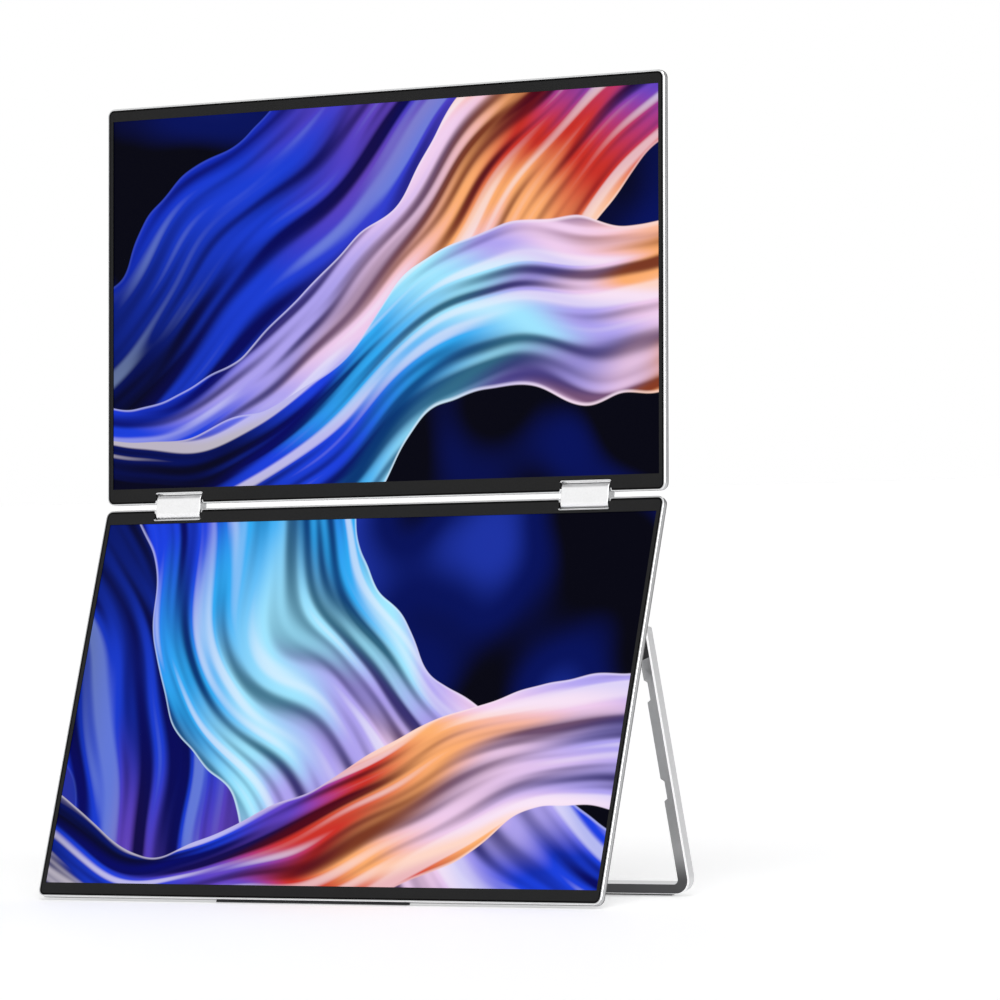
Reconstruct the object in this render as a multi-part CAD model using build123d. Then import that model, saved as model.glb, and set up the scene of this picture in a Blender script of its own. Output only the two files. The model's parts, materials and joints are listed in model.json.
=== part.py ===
from build123d import *
import os
from math import acos, cos, degrees, radians, sin, sqrt, tan

# A dual portable monitor: two thin 15.6 inch panels on a pair of twin-axis hinges,
# standing on the lower panel's edge and on a U-shaped kickstand behind it.
# Millimetres. X runs to the right seen from the front, the screens face -Y, Z is up.
# Each moving group is drawn in its own frame, with x right, y to the back and z up:
# a panel and the links about their hinge axis, the kickstand about its pivot.

# Picture and panel body
active_width = 344.16
active_height = 193.59
side_bezel = 2.8
both_long_bezels = 13.6
panel_thickness = 5.0
panel_wall = 0.8
panel_corner = 4.0
back_edge_round = 2.6
front_edge_chamfer = 0.25
lower_hinge_bezel = 7.0
upper_hinge_bezel = 7.7
bezel_thickness = 0.6
lcd_thickness = 1.0
lcd_border = 1.2
backlight_thickness = 1.7
backlight_border = 0.2
drop_in_gap = 0.05
rim_groove = 0.35
rim_groove_depth = 0.3
bezel_lap = 0.4
lip_tail = 0.4

# Pose: lean of the lower panel, and the angle between the two screens
lower_lean = 19.0
screen_opening = 164.0

# Twin-axis hinges
hinge_from_side = 47.6
axis_inset = 2.0
axis_spacing = 7.2
block_width = 28.5
block_radius = 3.1
block_wall = 0.7
block_end_round = 0.4
block_side_gap = 0.5
block_end_gap = 0.4
notch_mouth_round = 1.7
notch_inner_round = 0.5
shaft_diameter = 2.2
running_clearance = 0.05
core_length = 18.0
end_plate_thickness = 0.8
shaft_nut_across = 3.2
shaft_nut_thickness = 1.7
washer_diameter = 3.8
washer_thickness = 0.9
washer_pitch = 1.2
washer_count = 3
stack_gap = 0.05
shaft_tail = 0.8
bracket_width = 25.0
bracket_height = 24.0
bracket_gap = 0.3
bracket_corner = 1.0
saddle_width = 6.0
saddle_inset = 1.5
saddle_lip = 0.4
saddle_wall = 0.65
bracket_screw_spots = [(4.5, 9.0), (20.5, 9.0), (12.5, 20.5)]

# Screws
m2_shank = 2.0
m2_head = 3.6
m2_flat_head = 0.5
m2_pan_head = 0.7
screw_bite = 0.5
screw_gap = 0.05
screw_floor = 0.1

# Rear housing on the lower panel
housing_side_gap = 3.3
housing_above_pivot = 3.6
housing_depth = 7.5
housing_wall = 1.2
housing_low_corner = 5.0
cap_corner = 7.0
cap_width = 13.0
cap_height = 14.0
cap_slit = 0.8
cap_wall = 0.9
cap_sill = 0.8
cover_thickness = 1.2
cover_corner = 5.0
cover_bevel = 0.5
cover_screw_from_side = 84.0
cover_screw_inset = 12.0
cover_post_diameter = 6.0
cover_screw_reach = 5.0
cable_slot_width = 24.0
cable_slot_height = 5.0
cable_slot_drop = 8.0
cable_slot_from_side = 49.0
rear_foot_length = 19.0
rear_foot_height = 3.9
rear_foot_rise = 1.0
rear_foot_margin = 11.0
rear_foot_lift = 0.6

# Monitor mount, 75 x 75 with M4 threaded inserts
vesa_pitch = 75.0
vesa_below_top = 8.1
insert_outer = 5.6
insert_bore = 3.3
insert_length = 4.8
insert_boss = 8.4
insert_boss_end = 0.9
vesa_clearance = 4.6
vesa_bevel = 0.4

# Electronics in the housing
first_row_below_pivot = 36.5
second_row_share = 0.553
led_below_row = 7.2
hdmi_below_row = 16.3
board_thickness = 1.0
board_standoff = 1.5
board_length = 74.0
board_over = 8.5
board_under = 23.5
board_wall_gap = 0.4
board_screw_inset = 4.0
board_post = 4.6
usb_mouth = (8.94, 3.26)
usb_depth = 7.3
usb_metal = 0.3
usb_tongue = (6.7, 0.7)
tongue_inset = 1.0
hdmi_mouth = (11.2, 3.2)
hdmi_depth = 7.5
hdmi_metal = 0.35
hdmi_tongue = (7.8, 0.8)
port_gap = 0.15
led_pipe_diameter = 1.4
led_pipe_length = 6.0
shield_size = (34.0, 20.0, 1.6)
shield_inset = 11.3
key_board_width = 14.0
key_board_over = 8.0
key_board_thickness = 0.8
key_board_standoff = 0.9
key_post_inset = 3.0
ribbon_width = 9.0
ribbon_under = 8.0
ribbon_thickness = 0.3

# Jog levers on the housing's right side
jog_above_row = 7.0
jog_length = 7.0
jog_thick = 2.4
jog_reach = 4.0
jog_swing = 6.0
jog_push = 0.6
jog_root = 1.0
jog_root_half = 1.5
jog_pin = 1.0
jog_ear = 0.6
jog_play = 0.3
jog_housing_half = 6.0
jog_housing_wall = 0.5
jog_housing_length = 11.8
jog_cover_gap = 0.2
jog_pin_back = 5.6
jog_head_back = 2.4
jog_slide_length = 3.5

# Kickstand
pivot_drop = 68.0
pivot_clear = 0.4
kick_side_inset = 2.0
leg_width = 6.4
leg_depth = 5.7
bar_height = 5.4
kick_low_margin = 5.8
kick_outer_round = 9.0
kick_inner_round = 3.0
kick_front_bevel = 0.7
kick_back_bevel = 0.3
bar_gap = 0.9
strip_length = 52.0
strip_side_margin = 11.7
strip_thickness = 1.1
strip_width = 4.0
lever_notch_mouth = 11.5
lever_notch_floor = 8.9
lever_notch_depth = 2.0
kick_shaft = 2.8
barrel_radius = 2.4
barrel_length = 8.0
barrel_inset = 5.3
base_leaf = (26.0, 21.0)
base_leaf_thickness = 1.0
base_screw_spots = [(5.0, 8.0), (21.0, 8.0), (13.0, 17.0)]
kick_nut_across = 3.6
kick_nut_thickness = 1.8
kick_nut_gap = 0.1
bushing_outer = 4.8
bushing_gap = 0.3
leaf_thickness = 1.2
leaf_short = 12.0
leaf_long = 14.0
leaf_edge = 0.8
eye_radius = 2.3
eye_cheek = 0.7
eye_length = 3.5
leaf_screw_spots = [5.2, 9.2]
leaf_screw_bite = 2.0
leaf_screw_shank = 1.6
leaf_screw_head = 2.8

# Rubber foot under the lower panel's edge
edge_foot_half = 59.5
edge_foot_thickness = 0.9
edge_foot_margin = 0.5
edge_foot_over_roll = 1.0

# Derived outline of a panel and the hinges' place along it
panel_width = active_width + 2 * (side_bezel + panel_wall)
panel_height = active_height + both_long_bezels + 2 * panel_wall
hinge_x = panel_width / 2 - hinge_from_side
kick_length = panel_height - pivot_drop - kick_low_margin
leg_outer_x = panel_width / 2 - kick_side_inset
leg_inner_x = leg_outer_x - leg_width
housing_half_width = leg_inner_x - housing_side_gap
strip_outer = leg_outer_x - strip_side_margin
strip_inner = strip_outer - strip_length

# Derived planes of a panel, as y in its frame
front_y = -panel_thickness / 2
back_y = panel_thickness / 2
lcd_y = front_y + bezel_thickness
backlight_y = lcd_y + lcd_thickness
leaf_y = backlight_y + backlight_thickness
inner_back_y = back_y - panel_wall

# Derived places along a panel, as z in its frame
far_z = axis_inset - panel_height
panel_middle_z = axis_inset - panel_height / 2
notch_depth = axis_inset + block_radius + block_end_gap
notch_width = block_width + 2 * block_side_gap
shaft_bore = shaft_diameter + 2 * running_clearance

# Derived places of the rear housing in the lower panel's frame
cover_y = back_y + housing_depth
cover_inner_y = cover_y - cover_thickness
pivot_z = axis_inset - pivot_drop
housing_top_z = pivot_z + housing_above_pivot
pivot_y = back_y + pivot_clear + leg_depth / 2
housing_low_z = pivot_z - kick_length + bar_height + bar_gap
first_row_z = pivot_z - first_row_below_pivot
board_row_heights = [first_row_z, first_row_z + second_row_share * (housing_low_z - first_row_z)]
cap_inner_x = housing_half_width - cap_width
board_back_y = back_y + board_standoff
board_front_y = board_back_y + board_thickness
key_board_y = back_y + key_board_standoff
jog_base_y = key_board_y + key_board_thickness
jog_y = (jog_base_y + cover_inner_y - jog_cover_gap) / 2
jog_pin_x = housing_half_width - jog_pin_back

# Derived pose
upper_lean = lower_lean - (180 - screen_opening)
link_lean = (lower_lean + upper_lean) / 2
floor_drop = (edge_foot_thickness - far_z) * cos(radians(lower_lean))
pivot_down = pivot_y * sin(radians(lower_lean)) - pivot_z * cos(radians(lower_lean))
leg_reach = kick_length + strip_thickness
kick_lean = degrees(acos((floor_drop - pivot_down) / leg_reach))


# A plate standing in a panel's plane: the outline is drawn with x right and y up.
def upright(outline, y_front, y_back):
    face = Pos(0, y_back, 0) * (Plane.XZ * outline)
    return extrude(face, amount=y_back - y_front, dir=(0, -1, 0))


# A bar along X: the outline is drawn with x to the back and y up.
def along_x(outline, x_from, x_to):
    face = Pos(x_from, 0, 0) * (Plane.YZ * outline)
    return extrude(face, amount=x_to - x_from, dir=(1, 0, 0))


def block(x_from, x_to, y_from, y_to, z_from, z_to):
    size = (x_to - x_from, y_to - y_from, z_to - z_from)
    centre = ((x_from + x_to) / 2, (y_from + y_to) / 2, (z_from + z_to) / 2)
    return Pos(*centre) * Box(*size)


def rod_x(diameter, x_from, x_to, y=0.0, z=0.0):
    return Pos((x_from + x_to) / 2, y, z) * Rot(0, 90, 0) * Cylinder(diameter / 2, x_to - x_from)


def rod_y(diameter, y_from, y_to, x=0.0, z=0.0):
    return Pos(x, (y_from + y_to) / 2, z) * Rot(90, 0, 0) * Cylinder(diameter / 2, y_to - y_from)


def left_of(shape):
    return mirror(shape, about=Plane.YZ)


def both_sides(shape):
    return [shape, left_of(shape)]


def panel_sheet():
    return Pos(0, panel_middle_z) * RectangleRounded(panel_width, panel_height, panel_corner)


# The panel's outline with its two hinge notches in the hinge edge.
def panel_outline():
    outline = panel_sheet()
    for side in (-1, 1):
        notch = Rectangle(notch_width, 2 * notch_depth)
        outline -= Pos(side * hinge_x, axis_inset) * notch
    mouth = [v for v in outline.vertices()
             if abs(v.Y - axis_inset) < 0.01 and abs(abs(v.X) - hinge_x) < notch_width]
    outline = fillet(mouth, notch_mouth_round)
    floor = [v for v in outline.vertices()
             if abs(v.Y - axis_inset + notch_depth) < 0.01 and abs(abs(v.X) - hinge_x) < notch_width]
    return fillet(floor, notch_inner_round)


# Bracket screws, as places (x, z) on the right side in the panel's frame.
def bracket_screw_places():
    left = bracket_left_x()
    return [(left + dx, axis_inset - panel_wall - dz) for dx, dz in bracket_screw_spots]


def bracket_left_x():
    return hinge_x + notch_width / 2 + panel_wall + bracket_gap


# Strips beside the notches, where the bezel lies on the tray's wall as far as the notch.
def notch_sides():
    reach = panel_wall + drop_in_gap + bezel_lap
    high = axis_inset - notch_mouth_round - lip_tail
    low = axis_inset - notch_depth
    strips = []
    for side in (-1, 1):
        for edge in (-1, 1):
            x = side * hinge_x + edge * (notch_width + reach) / 2
            strips.append(Pos(x, (high + low) / 2) * Rectangle(reach, high - low))
    return strips


# A panel's sheet made solid, with its back edges rolled to one radius.
def rolled(sheet, y_front, y_back, radius):
    solid = upright(sheet, y_front, y_back)
    return fillet(solid.faces().sort_by(Axis.Y)[-1].edges(), radius)


# The room inside the tray, which follows the rolled edges, less a gap all round.
def tray_room(gap):
    inside = offset(panel_sheet(), amount=-(panel_wall + gap))
    return rolled(inside, front_y - 1, inner_back_y, back_edge_round - panel_wall - gap)


# Aluminium tray: rolled back edges, a thin rim round the front, pocket for screen and brackets.
def panel_shell():
    shell = rolled(panel_sheet(), front_y, back_y, back_edge_round)
    shell &= upright(panel_outline(), front_y - 1, back_y + 1)
    shell = chamfer(shell.faces().sort_by(Axis.Y)[0].edges(), front_edge_chamfer)
    pocket = offset(panel_outline(), amount=-panel_wall)
    shell -= tray_room(0) & upright(pocket, front_y - 2, back_y)
    for strip in notch_sides():
        shell -= upright(strip, front_y - 1, lcd_y)
    notch_side = hinge_x + notch_width / 2
    for hole in both_sides(rod_x(shaft_diameter + 2 * screw_gap, notch_side - 1, notch_side + 2)):
        shell -= hole
    for x, z in bracket_screw_places():
        hole = rod_y(m2_shank + 2 * screw_gap, leaf_y, inner_back_y + screw_bite, x, z)
        shell -= hole
        shell -= left_of(hole)
    return shell


# Black frame over the edge of the picture, flush with the rim, with a fine groove along it.
def panel_bezel(hinge_bezel):
    outline = panel_outline()
    cover = offset(outline, amount=-(panel_wall + drop_in_gap))
    for strip in notch_sides():
        cover += strip & outline
    groove = cover - offset(cover, amount=-rim_groove)
    frame = cover - Pos(0, picture_middle(hinge_bezel)) * Rectangle(active_width, active_height)
    return upright(frame, front_y, lcd_y) - upright(groove, front_y - 1, front_y + rim_groove_depth)


def picture_middle(hinge_bezel):
    return axis_inset - panel_wall - hinge_bezel - active_height / 2


def screen_layer(hinge_bezel, border, y_front, y_back):
    layer = Rectangle(active_width + 2 * border, active_height + 2 * border)
    return upright(Pos(0, picture_middle(hinge_bezel)) * layer, y_front, y_back)


# Steel leaf behind the backlight, with two saddles that hold the flattened shaft.
def hinge_bracket():
    left = bracket_left_x()
    top = axis_inset - panel_wall - drop_in_gap
    leaf = RectangleRounded(bracket_width, bracket_height, bracket_corner)
    leaf = Pos(left + bracket_width / 2, top - bracket_height / 2) * leaf
    bracket = upright(leaf, leaf_y, inner_back_y)
    low = -shaft_diameter / 2 - 2 * saddle_wall
    for start in (saddle_inset, bracket_width - saddle_width - saddle_inset):
        x = left + start
        saddle = block(x, x + saddle_width, -shaft_diameter / 2 - saddle_wall, leaf_y, low, saddle_lip)
        bracket += saddle
    bracket -= rod_x(shaft_diameter, left - 1, left + bracket_width + 1) - shaft_flat()
    for x, z in bracket_screw_places():
        bracket -= rod_y(m2_shank + 2 * screw_gap, leaf_y - 1, inner_back_y + 1, x, z)
        bracket -= rod_y(m2_head + 2 * screw_gap, leaf_y - 1, leaf_y + m2_flat_head, x, z)
    return bracket & tray_room(drop_in_gap)


# What the shaft's flat takes off, so that the shaft lies on the bracket's leaf.
def shaft_flat():
    left = bracket_left_x()
    return block(left, left + 2 * bracket_width, leaf_y, shaft_diameter, -shaft_diameter, shaft_diameter)


def bracket_screws():
    screws = []
    for x, z in bracket_screw_places():
        screw = rod_y(m2_head, leaf_y, leaf_y + m2_flat_head, x, z)
        screw += rod_y(m2_shank, leaf_y, inner_back_y + screw_bite, x, z)
        screws += both_sides(screw)
    return screws


# Where the washers and nuts start inside the hinge block, on the right side.
def core_inner_x():
    return hinge_x + block_width / 2 - end_plate_thickness - core_length


def nut_inner_x():
    return core_inner_x() - stack_gap - washer_count * washer_pitch - shaft_nut_thickness


def hinge_shafts():
    shaft = rod_x(shaft_diameter, nut_inner_x() - shaft_tail, bracket_left_x() + bracket_width - 1)
    return both_sides(shaft - shaft_flat())


def friction_washers():
    washers = []
    for n in range(washer_count):
        end = core_inner_x() - stack_gap - n * washer_pitch
        washer = rod_x(washer_diameter, end - washer_thickness, end)
        washer -= rod_x(shaft_diameter, end - 2 * washer_thickness, end + 1)
        washers += both_sides(washer)
    return washers


def shaft_nuts():
    start = nut_inner_x()
    outline = RegularPolygon(shaft_nut_across / 2, 6, major_radius=False) - Circle(shaft_diameter / 2)
    return both_sides(along_x(outline, start, start + shaft_nut_thickness))


# Twin-axis link: section with round ends about both axes, in the link's frame.
def link_section(radius):
    return Pos(0, axis_spacing / 2) * SlotCenterToCenter(axis_spacing, 2 * radius, rotation=90)


def link_bores(x_from, x_to):
    return rod_x(shaft_bore, x_from, x_to) + rod_x(shaft_bore, x_from, x_to, z=axis_spacing)


def hinge_block():
    left = hinge_x - block_width / 2
    right = hinge_x + block_width / 2
    cover = along_x(link_section(block_radius), left, right)
    ends = cover.faces().filter_by(Axis.X)
    cover = fillet([edge for face in ends for edge in face.edges()], block_end_round)
    return cover - along_x(link_section(block_radius - block_wall), left - 1, right + 1)


def hinge_core():
    left = core_inner_x()
    core = along_x(link_section(block_radius - block_wall), left, left + core_length)
    return core - link_bores(left - 1, left + core_length + 1)


def hinge_end_plates():
    section = link_section(block_radius - block_wall)
    left = hinge_x - block_width / 2
    right = hinge_x + block_width / 2
    blank = along_x(section, left, left + end_plate_thickness)
    drilled = along_x(section, right - end_plate_thickness, right)
    drilled -= link_bores(right - 2 * end_plate_thickness, right + 1)
    return both_sides(blank) + both_sides(drilled)


# Rear housing: outline with larger corners at the top, where the kickstand's hinge caps are.
def housing_outline(top_corner, low_corner):
    height = housing_top_z - housing_low_z
    outline = Pos(0, (housing_top_z + housing_low_z) / 2) * Rectangle(2 * housing_half_width, height)
    top = [v for v in outline.vertices() if abs(v.Y - housing_top_z) < 0.01]
    outline = fillet(top, top_corner)
    low = [v for v in outline.vertices() if abs(v.Y - housing_low_z) < 0.01]
    return fillet(low, low_corner)


def wall_ring(wall):
    outer = housing_outline(cap_corner, housing_low_corner)
    return upright(outer - offset(outer, amount=-wall), back_y, cover_inner_y)


def cap_zone(grow):
    return block(cap_inner_x - grow, leg_inner_x, back_y + cap_sill, cover_y,
                 housing_top_z - cap_height - grow, housing_top_z + cap_height)


def port_slot(size, y, z, x_from, x_to, grow):
    long_side, short_side = size[0] + 2 * grow, size[1] + 2 * grow
    outline = Pos(y, z) * SlotOverall(long_side, short_side, rotation=90)
    return along_x(outline, x_from, x_to)


def usb_y():
    return board_front_y + usb_mouth[1] / 2


def hdmi_y():
    return board_front_y + hdmi_mouth[1] / 2


def housing_frame():
    frame = wall_ring(housing_wall)
    zone = cap_zone(cap_slit / 2)
    frame -= zone
    frame -= left_of(zone)
    wall = (-housing_half_width - 1, -housing_half_width + 2 * housing_wall)
    for row in board_row_heights:
        frame -= port_slot(usb_mouth, usb_y(), row, *wall, port_gap)
        frame -= hdmi_solid(hdmi_y(), row - hdmi_below_row, *wall, port_gap)
        frame -= rod_x(led_pipe_diameter + 2 * port_gap, *wall, y=hdmi_y(), z=row - led_below_row)
        jog_z = row + jog_above_row
        swing = (jog_reach + jog_pin_back) * sin(radians(jog_swing))
        half = jog_length / 2 + swing + jog_play
        thick = jog_thick / 2 + jog_play
        frame -= block(housing_half_width - 2 * housing_wall, housing_half_width + 1,
                       jog_y - thick, jog_y + thick, jog_z - half, jog_z + half)
    return frame


def hinge_cap():
    cap = wall_ring(cap_wall) & cap_zone(-cap_slit / 2)
    cap -= rod_x(kick_shaft + 2 * bushing_gap, cap_inner_x, leg_inner_x, pivot_y, pivot_z)
    return cap


def vesa_places():
    top = housing_top_z - vesa_below_top
    return [(sx * vesa_pitch / 2, top - dz) for sx in (-1, 1) for dz in (0, vesa_pitch)]


def cover_screw_places():
    rows = (housing_top_z - cover_screw_inset, housing_low_z + cover_screw_inset)
    side = housing_half_width - cover_screw_from_side
    return [(x, z) for x in (-side, 0, side) for z in rows]


def rear_cover():
    cover = upright(housing_outline(cover_corner, housing_low_corner), cover_inner_y, cover_y)
    cover = chamfer(cover.faces().sort_by(Axis.Y)[-1].edges(), cover_bevel)
    for x, z in vesa_places():
        cover += rod_y(insert_boss, back_y + insert_boss_end, cover_inner_y, x, z)
        cover -= rod_y(insert_outer, back_y, cover_inner_y, x, z)
        cover -= rod_y(vesa_clearance, cover_inner_y - 0.5, cover_y + 1, x, z)
        bevel = Cone(vesa_clearance / 2, vesa_clearance / 2 + vesa_bevel, vesa_bevel)
        cover -= Pos(x, cover_y - vesa_bevel / 2, z) * Rot(-90, 0, 0) * bevel
    for x, z in cover_screw_places():
        cover += rod_y(cover_post_diameter, back_y, cover_inner_y, x, z)
        cover -= rod_y(m2_shank, back_y - 1, back_y + cover_screw_reach, x, z)
    return cover


def vesa_inserts():
    inserts = []
    for x, z in vesa_places():
        insert = rod_y(insert_outer, cover_inner_y - insert_length, cover_inner_y, x, z)
        inserts.append(insert - rod_y(insert_bore, back_y, cover_y, x, z))
    return inserts


def cover_screws():
    screws = []
    for x, z in cover_screw_places():
        screw = rod_y(m2_head, inner_back_y - m2_pan_head, inner_back_y, x, z)
        screws.append(screw + rod_y(m2_shank, inner_back_y, back_y + cover_screw_reach, x, z))
    return screws


def rear_feet():
    pill = Pos(housing_half_width - rear_foot_margin - rear_foot_length / 2,
               housing_low_z + rear_foot_lift + rear_foot_height / 2)
    foot = upright(pill * SlotOverall(rear_foot_length, rear_foot_height), cover_y, cover_y + rear_foot_rise)
    foot = chamfer(foot.faces().sort_by(Axis.Y)[-1].edges(), rear_foot_rise / 3)
    return both_sides(foot)


# Driver boards on the left, one for each screen, with their ports in the left wall.
def board_edges(row):
    left = -housing_half_width + housing_wall + board_wall_gap
    return left, left + board_length, row - board_under, row + board_over


def board_screw_places(row):
    x_from, x_to, z_from, z_to = board_edges(row)
    inset = board_screw_inset
    return [(x_to - inset, z_from + inset), (x_to - inset, z_to - inset),
            (x_from + board_length / 2, z_from + inset), (x_from + board_length / 2, z_to - inset)]


def driver_board(row):
    x_from, x_to, z_from, z_to = board_edges(row)
    board = block(x_from, x_to, board_back_y, board_front_y, z_from, z_to)
    for x, z in board_screw_places(row):
        board -= rod_y(m2_shank + 2 * screw_gap, back_y, board_front_y + 1, x, z)
    length, height, rise = shield_size
    middle_x = x_from + shield_inset + length / 2
    middle_z = (z_from + z_to) / 2
    board += block(middle_x - length / 2, middle_x + length / 2, board_front_y, board_front_y + rise,
                   middle_z - height / 2, middle_z + height / 2)
    return board


def usb_ports():
    ports = []
    mouth = -housing_half_width
    end = mouth + usb_depth
    for row in board_row_heights:
        port = port_slot(usb_mouth, usb_y(), row, mouth, end, 0)
        port -= port_slot(usb_mouth, usb_y(), row, mouth - 1, end - 2 * usb_metal, -usb_metal)
        width, thick = usb_tongue
        port += block(mouth + tongue_inset, end, usb_y() - thick / 2, usb_y() + thick / 2,
                      row - width / 2, row + width / 2)
        ports.append(port)
    return ports


# The mini HDMI mouth narrows towards the board: a six-sided section.
def hdmi_solid(y, z, x_from, x_to, grow):
    half_long = hdmi_mouth[0] / 2 + grow
    half_short = hdmi_mouth[1] / 2 + grow
    step = hdmi_mouth[1] / 3
    corners = [(half_short, -half_long), (half_short, half_long), (0, half_long),
               (-half_short, half_long - step), (-half_short, step - half_long), (0, -half_long)]
    return along_x(Pos(y, z) * Polygon(*corners, align=None), x_from, x_to)


def hdmi_ports():
    ports = []
    mouth = -housing_half_width
    end = mouth + hdmi_depth
    for row in board_row_heights:
        z = row - hdmi_below_row
        y = hdmi_y()
        port = hdmi_solid(y, z, mouth, end, 0)
        port -= hdmi_solid(y, z, mouth - 1, end - 2 * hdmi_metal, -hdmi_metal)
        width, thick = hdmi_tongue
        port += block(mouth + tongue_inset, end, y - thick / 2, y + thick / 2,
                      z - width / 2, z + width / 2)
        ports.append(port)
    return ports


def light_pipes():
    pipes = []
    for row in board_row_heights:
        z = row - led_below_row
        start = -housing_half_width
        pipe = rod_x(led_pipe_diameter, start, start + led_pipe_length, hdmi_y(), z)
        half = led_pipe_diameter / 2
        pipe += block(start + led_pipe_length - 2 * half, start + led_pipe_length,
                      board_front_y, hdmi_y(), z - half, z + half)
        pipes.append(pipe)
    return pipes


def board_screws():
    screws = []
    for row in board_row_heights:
        for x, z in board_screw_places(row):
            screw = rod_y(m2_head, board_front_y, board_front_y + m2_pan_head, x, z)
            screws.append(screw + rod_y(m2_shank, back_y + screw_floor, board_front_y, x, z))
    return screws


# Narrow board on the right that carries the two jog switches.
def key_board_edges():
    right = housing_half_width - housing_wall - board_wall_gap
    top = board_row_heights[0] + jog_above_row + key_board_over
    low = board_row_heights[-1] + jog_above_row - key_board_over
    return right - key_board_width, right, low, top


def key_board():
    x_from, x_to, z_from, z_to = key_board_edges()
    return block(x_from, x_to, key_board_y, jog_base_y, z_from, z_to)


def jog_heights():
    return [row + jog_above_row for row in board_row_heights]


def jog_switches():
    switches = []
    right = housing_half_width - jog_head_back - jog_play
    left = right - jog_housing_length
    top_y = 2 * jog_y - jog_base_y
    wall = jog_housing_wall
    for z in jog_heights():
        switch = block(left, right, jog_base_y, top_y, z - jog_housing_half, z + jog_housing_half)
        switch -= block(left + 2 * wall, right + 1, jog_base_y + wall, top_y - wall,
                        z - jog_housing_half + 2 * wall, z + jog_housing_half - 2 * wall)
        switches.append(switch)
    return switches


# The slide presses in; its two ears hold the pin that the lever swings on.
def jog_slide(z):
    start = jog_pin_x - jog_pin - jog_play - jog_slide_length - 2 * jog_play
    block_end = start + jog_slide_length
    half_y = jog_root / 2 + jog_play + jog_ear
    half_z = jog_housing_half - 2 * jog_housing_wall - jog_play
    slide = block(start, block_end, jog_y - half_y, jog_y + half_y, z - half_z, z + half_z)
    ear_end = jog_pin_x + jog_root_half
    for side in (-1, 1):
        inner = jog_y + side * (half_y - jog_ear)
        outer = jog_y + side * half_y
        slide += block(block_end, ear_end, min(inner, outer), max(inner, outer),
                       z - jog_root_half, z + jog_root_half)
    return slide + rod_y(jog_pin, jog_y - half_y, jog_y + half_y, jog_pin_x, z)


def jog_lever(z):
    tip = housing_half_width + jog_reach
    head_start = housing_half_width - jog_head_back
    outline = Rectangle(tip - head_start, jog_length)
    outline = fillet(outline.vertices().group_by(Axis.X)[-1], jog_length / 5)
    head = upright(outline, -jog_thick / 2, jog_thick / 2)
    head = Pos((tip + head_start) / 2, jog_y, z) * head
    root = block(jog_pin_x, head_start, jog_y - jog_root / 2, jog_y + jog_root / 2,
                 z - jog_root_half, z + jog_root_half)
    root += rod_y(2 * jog_root_half, jog_y - jog_root / 2, jog_y + jog_root / 2, jog_pin_x, z)
    bore = jog_pin + 2 * running_clearance
    return head + root - rod_y(bore, jog_y - jog_thick, jog_y + jog_thick, jog_pin_x, z)


# Flat cable from the first driver board to the key board, on the panel's back.
def key_ribbon():
    x_from = board_edges(board_row_heights[0])[1] - ribbon_under
    x_to = key_board_edges()[0] + ribbon_under / 2
    z = board_row_heights[0] - board_under / 3
    half = ribbon_width / 2
    return block(x_from, x_to, back_y, back_y + ribbon_thickness, z - half, z + half)


# Posts, holes and cable slot that only the lower panel's shell has.
def lower_shell():
    shell = panel_shell()
    for row in board_row_heights:
        for x, z in board_screw_places(row):
            shell += rod_y(board_post, back_y, board_back_y, x, z)
            shell -= rod_y(m2_shank, back_y + screw_floor, board_back_y + 1, x, z)
    x_from, x_to, z_from, z_to = key_board_edges()
    for z in (z_from + key_post_inset, (z_from + z_to) / 2, z_to - key_post_inset):
        shell += rod_y(board_post, back_y, key_board_y, (x_from + x_to) / 2, z)
    for x, z in cover_screw_places():
        shell -= rod_y(m2_shank + 2 * screw_gap, inner_back_y - 1, back_y + 1, x, z)
    slot = SlotOverall(cable_slot_width, cable_slot_height)
    slot = Pos(cable_slot_from_side - housing_half_width, housing_top_z - cable_slot_drop) * slot
    shell -= upright(slot, inner_back_y - 1, back_y + 1)
    for x, z in base_screw_places():
        hole = rod_y(m2_shank + 2 * screw_gap, inner_back_y - 1, back_y + 1, x, z)
        shell -= hole
        shell -= left_of(hole)
    return shell


# Its top follows the start of the panel's roll and its underside lies flat on the floor.
def edge_foot():
    front = front_y + front_edge_chamfer + edge_foot_margin
    roll = back_edge_round
    roll_y = back_y - roll
    back = roll_y + edge_foot_over_roll
    rise = roll - sqrt(roll ** 2 - edge_foot_over_roll ** 2)
    slope = tan(radians(lower_lean))
    low = far_z - edge_foot_thickness
    section = Polygon((front, far_z), (roll_y, far_z), (back, far_z + rise), (back, low + back * slope),
                      (front, low + front * slope), align=None)
    section -= Pos(roll_y, far_z + roll) * Circle(roll)
    return along_x(section, -edge_foot_half, edge_foot_half)


# Kickstand hinge: fixed leaf and barrel inside the housing's top corner.
def base_screw_places():
    left = housing_half_width - housing_wall - base_leaf[0]
    top = pivot_z
    return [(left + dx, top - dz) for dx, dz in base_screw_spots]


def hinge_base():
    right = housing_half_width - housing_wall
    left = right - base_leaf[0]
    leaf = block(left, right, back_y, back_y + base_leaf_thickness, pivot_z - base_leaf[1], pivot_z)
    inside = offset(housing_outline(cap_corner, housing_low_corner), amount=-(housing_wall + stack_gap))
    leaf = leaf & upright(inside, back_y, back_y + base_leaf_thickness)
    end = housing_half_width - barrel_inset
    barrel = rod_x(2 * barrel_radius, end - barrel_length, end, pivot_y, pivot_z)
    web = block(end - barrel_length, end, back_y, pivot_y, pivot_z - barrel_radius, pivot_z)
    base = leaf + barrel + web
    base -= rod_x(kick_shaft + 2 * running_clearance, left - 1, right + 1, pivot_y, pivot_z)
    for x, z in base_screw_places():
        base -= rod_y(m2_shank + 2 * screw_gap, back_y - 1, pivot_y, x, z)
    return base


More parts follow.
